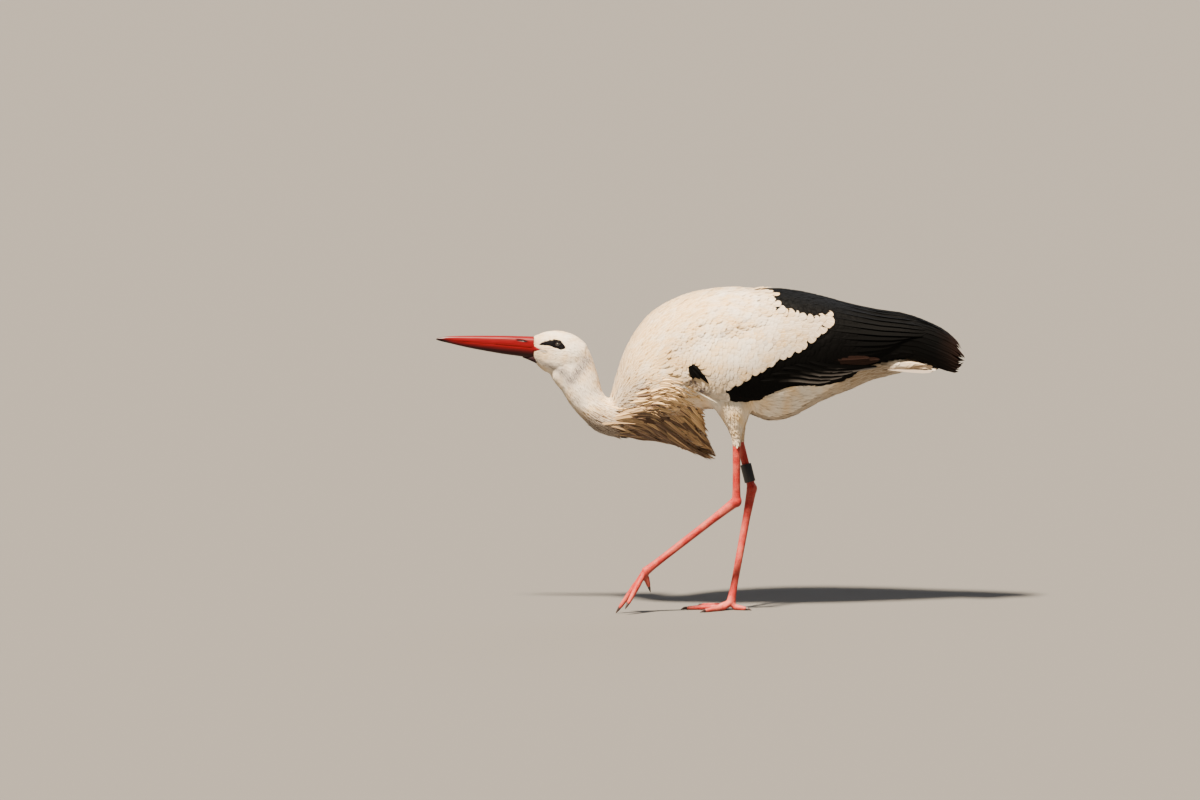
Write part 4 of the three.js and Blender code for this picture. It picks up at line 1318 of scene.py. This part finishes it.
def plume_places(count, t):
    """Where plumes start, u along the plume lines and v down them, and their u and v at the shares t
    of their length. Some lie in clumps, by cells of u and v, and draw together there.
    """
    u0 = luck.random(count) ** .85 * .8 + .05 * luck.random(count)
    v0 = luck.random(count) ** .9
    # a fifth of them fill the hollow between breast and keel
    filler = luck.random(count) < .22
    u0 = np.where(filler, luck.uniform(.3, .72, count), u0)
    v0 = np.where(filler, luck.uniform(.3, .6, count), v0)
    cell = np.floor(np.column_stack([u0 * 9, v0 * 16])).astype(int)
    clump = np.unique(cell, axis=0, return_inverse=True)[1].ravel()
    pull = luck.random(clump.max() + 1)[clump]
    swing = luck.normal(0, 1, clump.max() + 1)[clump]
    middle = (np.bincount(clump, v0) / np.bincount(clump))[clump]
    size = np.interp(v0, [0, .25, .5, .8, 1], [.2, .3, .4, .42, .34])
    size = size * (1 + .18 * swing.clip(-1.5, 1.5) * .6) * luck.normal(1, .14, count).clip(.6, 1.4)
    size = np.minimum(size, (luck.uniform(.8, 1.0, count) - u0).clip(.08, 1))
    drift = .045 * swing + luck.normal(0, .02, count) + .4 * pull * (middle - v0)
    return u0, v0, u0[:, None] + size[:, None] * t, v0[:, None] + drift[:, None] * t ** 1.5


def plume_hues(u0, v0, rings):
    """Each plume's colours at the shares rings of its length: cream to buff by how stained its place is,
    with painted shade low in the middle, some of them dark brown for earth and the painted shade of the gaps
    between locks, and painted shadow at the root and along the edges.
    """
    count = len(u0)
    stain = np.interp(v0, [0, .2, .42, .7, 1], [.0, .2, .5, .9, 1])
    stain = stain * np.interp(u0, [0, .12, .3, .8], [.45, .9, 1, .5])
    stain = (stain * luck.uniform(.4, 1.5, count)).clip(0, 1)
    # some blades dark brown: earth stain and the painted shade of the gaps between locks
    earthy_and_shaded = (luck.random(count) < .4 * stain + .02)[:, None, None, None]
    pale = CREAM + (BUFF - CREAM) * stain[:, None]
    # painted shade low in the middle of the plumes
    dark = ramp(.5, .8, v0) * ramp(.02, .2, u0) * ramp(.75, .45, u0)
    pale = pale + (.55 * dark * luck.uniform(.4, 1.2, count))[:, None] * (SHADOW - pale)
    tone = np.where(earthy_and_shaded, SHADOW + .2 * (BUFF - SHADOW), pale[:, None, None])
    # painted shadow along each blade's edges and towards its root
    edge = ramp(.4, 1, np.abs(LONG[:, 0]))[:, None] * (.75 * stain)[:, None, None, None]
    roots = ramp(.45, 0, rings)[:, None, None] * (.55 * stain)[:, None, None, None]
    shade = tone + (edge + roots).clip(0, 1) * (SHADOW - tone)
    return shade * np.ones((count, len(rings), len(LONG), 1))


def plumes(side):
    """Long pointed plumes that follow the plume lines. Each lies out from the skin by a depth that
    grows along it, and its y is the parabola, least squares, through what lies beneath it; past the
    skin's edge y stays as it was and closes in on the middle.
    """
    count = PLUME_COUNT
    t = np.array([0, .08, .2, .35, .52, .68, .82, .93, 1])
    u0, v0, u, v = plume_places(count, t)
    x, z = np.moveaxis(on_lines(u, v.clip(0, 1)), -1, 0)
    fray = luck.normal(0, 2.2, count)[:, None] * t ** 3
    z = z + fray
    deep = beside(x, z, side)
    keel = luck.uniform(0, 16, count)
    deep[:, 0] = np.where(np.isnan(deep[:, 0]), keel, deep[:, 0])
    seen = np.maximum.accumulate(np.where(np.isnan(deep), 0, np.arange(len(t))), axis=1)
    past = t[None] - t[seen]
    deep = np.take_along_axis(deep, seen, 1) * (1 - .7 * past)
    fit = np.vander(t, 3)
    deep = deep @ np.linalg.pinv(fit).T @ fit.T
    tilt = np.radians(np.interp(v0, [0, .3, .7, 1], [8, 0, -20, -50]))
    up = np.column_stack([0 * tilt, side * np.cos(tilt), np.sin(tilt)])
    lift = luck.uniform(-1.5, 1.5, count)[:, None] * t - 1.5
    lift = lift + np.interp(v0, [0, .2, .6, 1], [4, 6, 7, 4])[:, None] * t ** .6
    walk = (np.stack([x, side * deep, z], -1) + up[:, None] * lift[..., None]) * MM
    along = unit(np.gradient(walk, axis=1))
    ups = np.repeat(up[:, None], len(t), 1)
    ups = unit(ups - (ups * along).sum(-1, keepdims=True) * along)
    wide = np.interp(v0, [0, .25, 1], [5.5, 4.6, 3.8]) * luck.uniform(.5, 1.2, count)
    half = wide[:, None] * np.array([.2, .6, .95, 1, .8, .5, .2]) * MM
    return walk, ups, half, plume_hues(u0, v0, t[1:-1])


walk, ups, half, hues = (np.concatenate(both) for both in zip(plumes(LEFT), plumes(RIGHT)))
vanes("breast_plume_blades", walk, ups, half, LONG, .45 * MM, .25, hues, breast_plume,
      ("breast_plumes",))

# ---- Bill ---------------------------------------------------------------------------------------


def bill_hues(points):
    """Red above, deeper red below, and nearly black along the tip's lower edge."""
    x, _, z = points.T / MM
    above = z - height_of(GAPE, x)
    low = ramp(2, -12, above)[:, None]
    dark = ramp(-455, -488, x) * .8 + .6 * ramp(-430, -480, x) * ramp(3, -2, above)
    hue = BILL_RED + low * (BILL_DEEP - BILL_RED)
    return hue + dark.clip(0, 1)[:, None] * (BILL_TIP - hue)


def nostril(x, z, at, long, high):
    """How deep in a nostril's slit x, z is, 1 at its middle: the exponential of less the fourth power
    of the way along it over long, less the square of the height off it over high.
    """
    level = at[1] + (x - at[0]) * NOSTRIL_SLOPE
    return np.exp(-((x - at[0]) / long) ** 4 - ((z - level) / high) ** 2)


def bill_half(upper):
    """One half of the bill: the whole bill's rings, with the points past the gape line brought to it,
    and the edge there drawn in a little to a sharp rim.
    """
    rings = body_rings(BILL, 110, 64, 2.3)
    x, y, z = np.moveaxis(rings, -1, 0) / MM
    line = height_of(GAPE, x)
    z = np.maximum(z, line + .12) if upper else np.minimum(z, line - .12)
    if upper:
        # the nostril: 14 mm long, 7 mm under the ridge, sunk 1.2 mm
        y = y - np.sign(y) * 1.2 * nostril(x, z, (-333, 504), 7, 1.1)
    y = y * (1 - .05 * np.exp(-np.abs(z - line) / 1.2))
    return tube(np.stack([x, y, z], -1) * MM)


def head_side(x, z):
    """How far out the plumage of the head lies at x, z: the section's superellipse, solved for its
    half width there.
    """
    rows = eased(HEAD, 120)
    top, low, half, widest = (np.interp(x, rows[:, 0], rows[:, k]) for k in (1, 3, 4, 5))
    up = (z - low) / (top - low) - widest
    level = np.clip(np.abs(up) / np.where(up > 0, 1 - widest, widest), 0, 1)
    return half * (1 - level ** 2.2) ** (1 / 2.2)


def corner_of_mouth(side):
    """The soft red corner where the bill's edges run back into the face: a flat fold 21 mm long that
    tapers to its end.
    """
    t = np.linspace(0, 1, 24)
    x = -318 + 21 * t
    z = 490.6 - 3 * t
    y = side * (head_side(np.maximum(x, -311), z) - 1.5 - 1.8 * ramp(-309, -317, x))
    fold = np.column_stack([x, y, z, 1.5 * (1 - .4 * t), 7.4 * (1 - t) ** .8 + .5])
    return tube(limb_rings(fold, 18))


for name, upper in (("upper", True), ("lower", False)):
    shell = bill_half(upper)
    if upper:
        shell = joined([shell, corner_of_mouth(LEFT), corner_of_mouth(RIGHT)])
    mesh = mesh_of(f"bill_{name}_horn", shell)
    points = coordinates(mesh)
    hue = bill_hues(points)
    x, _, z = points.T / MM
    # the nostril's slit painted black: painted shade in its opening
    slit = np.minimum(2.5 * nostril(x, z, (-331, 503.8), 9.5, 1.4), 1)[:, None]
    painted(mesh, hue + slit * (BARE_BLACK - hue))
    shown(f"bill_{name}_horn", mesh, bill_horn, (f"bill_{name}",), crease=40)

# ---- Eyes, lids, claws and ring -----------------------------------------------------------------


def eyeball(side, name):
    """A ball whose cornea stands out at its middle, 5% by a Gaussian of the angle off its axis y. It
    is black, with a ring of dark iris round the pupil.
    """
    polar = np.linspace(.02, np.pi - .02, 40)
    turn = 2 * np.pi * np.arange(48) / 48
    radius = EYE_RADIUS * (1 + .05 * np.exp(-(polar / .55) ** 2))[:, None]
    off = radius * np.sin(polar)[:, None]
    ball = np.stack([EYE[0] + off * np.cos(turn),
                     side * (EYE[1] + radius * np.cos(polar)[:, None] * np.ones(len(turn))),
                     EYE[2] + off * np.sin(turn)], -1) * MM
    mesh = mesh_of(f"eyeball_{name}", tube(ball))
    ring = ramp(.36, .42, polar) * ramp(.98, .86, polar)
    painted(mesh, np.repeat(PUPIL + ring[:, None] * IRIS, len(turn), 0))
    shown(f"eyeball_{name}", mesh, wet_eye, (f"eye_{name}",))


def bare_face(side):
    """Bare skin from the lores round the eye: a lens of skin 3.2 mm thick on the head's surface, drawn
    in round the eyeball by a Gaussian of the distance to it, and at its edges by the sixth power of
    the way there, so that it ends below the feathers' tips.
    """
    row = eased(FACE, 70)
    v = np.linspace(0, 1, 22)
    x = np.broadcast_to(row[:, :1], (len(row), len(v)))
    spread = (row[:, 1] - row[:, 2] + 2.4)[:, None]
    z = row[:, 2:3] - 1.2 + spread * v
    from_eye = np.hypot(x - EYE[0], z - EYE[2])
    y = head_side(x, z) + .1 - .9 * np.exp(-((from_eye - 6) / 2.2) ** 2) - 1.5 * (2 * np.abs(v - .5)) ** 6
    outer = np.stack([x, side * y, z], -1)
    inner = (outer - [0, side * 3.2, 0])[:, ::-1]
    return tube(np.concatenate([outer, inner], 1) * MM)


def lids(side):
    """Both lids as one rim round an almond, which rests on the eyeball or on the skin, whichever is
    further out. Its section is an ellipse 2.3 mm by 1.6 mm.
    """
    turn = 2 * np.pi * np.arange(72) / 72
    x = EYE[0] + 6.6 * np.cos(turn) + .3
    z = EYE[2] - .3 + 4.7 * np.sign(np.sin(turn)) * np.abs(np.sin(turn)) ** 1.1 - 1.0 * np.cos(turn)
    off = (x - EYE[0]) ** 2 + (z - EYE[2]) ** 2
    y = np.maximum(EYE[1] + np.sqrt(np.maximum(EYE_RADIUS ** 2 - off, 0)), head_side(x, z) - 1.3)
    centre = np.column_stack([x, side * y, z]) * MM
    along = unit(np.roll(centre, -1, 0) - np.roll(centre, 1, 0))
    out = np.array([0, side, 0])
    inward = unit(np.cross(along, out))
    angle = 2 * np.pi * np.arange(12) / 12
    return hoop(centre[:, None] + inward[:, None] * (1.15 * MM * np.cos(angle))[:, None]
                + out * (.8 * MM * np.sin(angle))[:, None])


def solid_piece(name, shell, hue, finish, nodes=()):
    """A piece of one colour from a shell."""
    mesh = mesh_of(name, shell)
    painted(mesh, np.tile(hue, (len(mesh.vertices), 1)))
    shown(name, mesh, finish, nodes)


def claw_shells():
    """Claws as tapering horns that run on from the toes: each arches up by the sine of the way along
    it if its toe is planted, and rests on the floor.
    """
    claws = []
    share = np.linspace(0, 1, 24)
    radius = np.interp(share, [0, .5, 1], [3.1, 2.4, .5])
    for side in (LEFT, RIGHT):
        for _, root, way, length, planted in toe_paths(side):
            reach = length - 3 + (CLAW_LENGTH + 3) * share
            spot = toe_station(root, way, length, planted, reach, np.maximum(radius, 1.2))
            spot[:, 2] += (1.3 * np.sin(np.pi * share) if planted else 0)
            claws.append(tube(limb_rings(np.column_stack([spot, radius * .85, radius]), 16)))
    points, corners, starts = joined(claws)
    return np.column_stack([points[:, :2], np.maximum(points[:, 2], 0)]), corners, starts


def leg_ring():
    """A thin wall turned round the right shin's line, with its four rims rounded by quarter circles of
    radius RING_RIM.
    """
    top, hock = (to_side(LEG[RIGHT][joint], RIGHT) for joint in ("top", "hock"))
    line = unit(top - hock)
    foot = hock + line * RING_ABOVE_HOCK
    corner = np.linspace(0, np.pi / 2, 5)
    sine, cosine = RING_RIM * np.sin(corner), RING_RIM * np.cos(corner)
    outer, bore, high = RING_OUTER - RING_RIM, RING_BORE + RING_RIM, RING_HEIGHT - RING_RIM
    radii = np.concatenate([outer + sine, outer + cosine, bore - sine, bore - cosine])
    heights = np.concatenate([RING_RIM - cosine, high + sine, high + cosine, RING_RIM - sine])
    across = unit(np.cross(line, [0, 1, 0]))
    other = np.cross(line, across)
    turn = 2 * np.pi * np.arange(64)[:, None] / 64
    spoke = (across * np.cos(turn) + other * np.sin(turn))[:, None]
    return hoop((foot + line * heights[:, None] + spoke * radii[:, None]) * MM)


for side, name in ((LEFT, "left"), (RIGHT, "right")):
    eyeball(side, name)
    solid_piece(f"face_skin_{name}", joined([bare_face(side), lids(side)]), BARE_BLACK, lid_skin)
solid_piece("gular_skin", tube(body_rings(GULAR, 30, 28)), THROAT, lid_skin)
solid_piece("toe_claws", claw_shells(), CLAW, claw_horn,
            [f"claw_{toe}_{name}" for name in ("left", "right") for toe in TOES])
solid_piece("plastic_leg_ring", leg_ring(), RING_BLACK, ring_plastic, ("leg_ring",))

# ---- Floor, light and camera --------------------------------------------------------------------

FLOOR_HALF = 60.0                                        # metres, as are the camera's places
square = np.array([[-1, -1, 0], [1, -1, 0], [1, 1, 0], [-1, 1, 0]]) * FLOOR_HALF
mesh = mesh_of("studio_floor", (square, np.arange(4), np.array([0])), turn_out=False)
floor = bpy.data.objects.new("studio_floor", mesh)
bpy.context.scene.collection.objects.link(floor)
# Floor: matt painted board, mid grey, without a pattern.
floor_finish, _, _ = material("matt_pale_floor", Roughness=.9, Base_Color=colour("5c5a57"))
mesh.materials.append(floor_finish)

scene = bpy.context.scene
world = bpy.data.worlds.new("soft_studio")
world.use_nodes = True
sky = world.node_tree.nodes["Background"].inputs
sky["Color"].default_value = colour("ece9e6")
sky["Strength"].default_value = .3
scene.world = world


def sun(name, direction, strength, spread, tint):
    """A far soft lamp: light from a direction, spread over some degrees of sky."""
    lamp = bpy.data.lights.new(name, "SUN")
    lamp.energy, lamp.angle, lamp.color = strength, math.radians(spread), colour(tint)[:3]
    thing = bpy.data.objects.new(name, lamp)
    thing.rotation_mode = "QUATERNION"
    thing.rotation_quaternion = Vector(direction).to_track_quat("Z", "Y")
    scene.collection.objects.link(thing)


sun("key_lamp", (-.38, -.56, 1.2), 22.5, 6, "ffeed6")
sun("back_lamp", (.5, .8, .9), .9, 40, "eef3ff")

LENS, AWAY, TILT, AIM = 243.2, 15.0, math.radians(6), (-.187, .3925)
camera = bpy.data.objects.new("camera", bpy.data.cameras.new("camera"))
camera.data.lens, camera.data.sensor_width, camera.data.clip_end = LENS, 36, 200
camera.location = (AIM[0], -AWAY * math.cos(TILT), AIM[1] + AWAY * math.sin(TILT))
camera.rotation_euler = (math.pi / 2 - TILT, 0, 0)
scene.collection.objects.link(camera)
scene.camera = camera
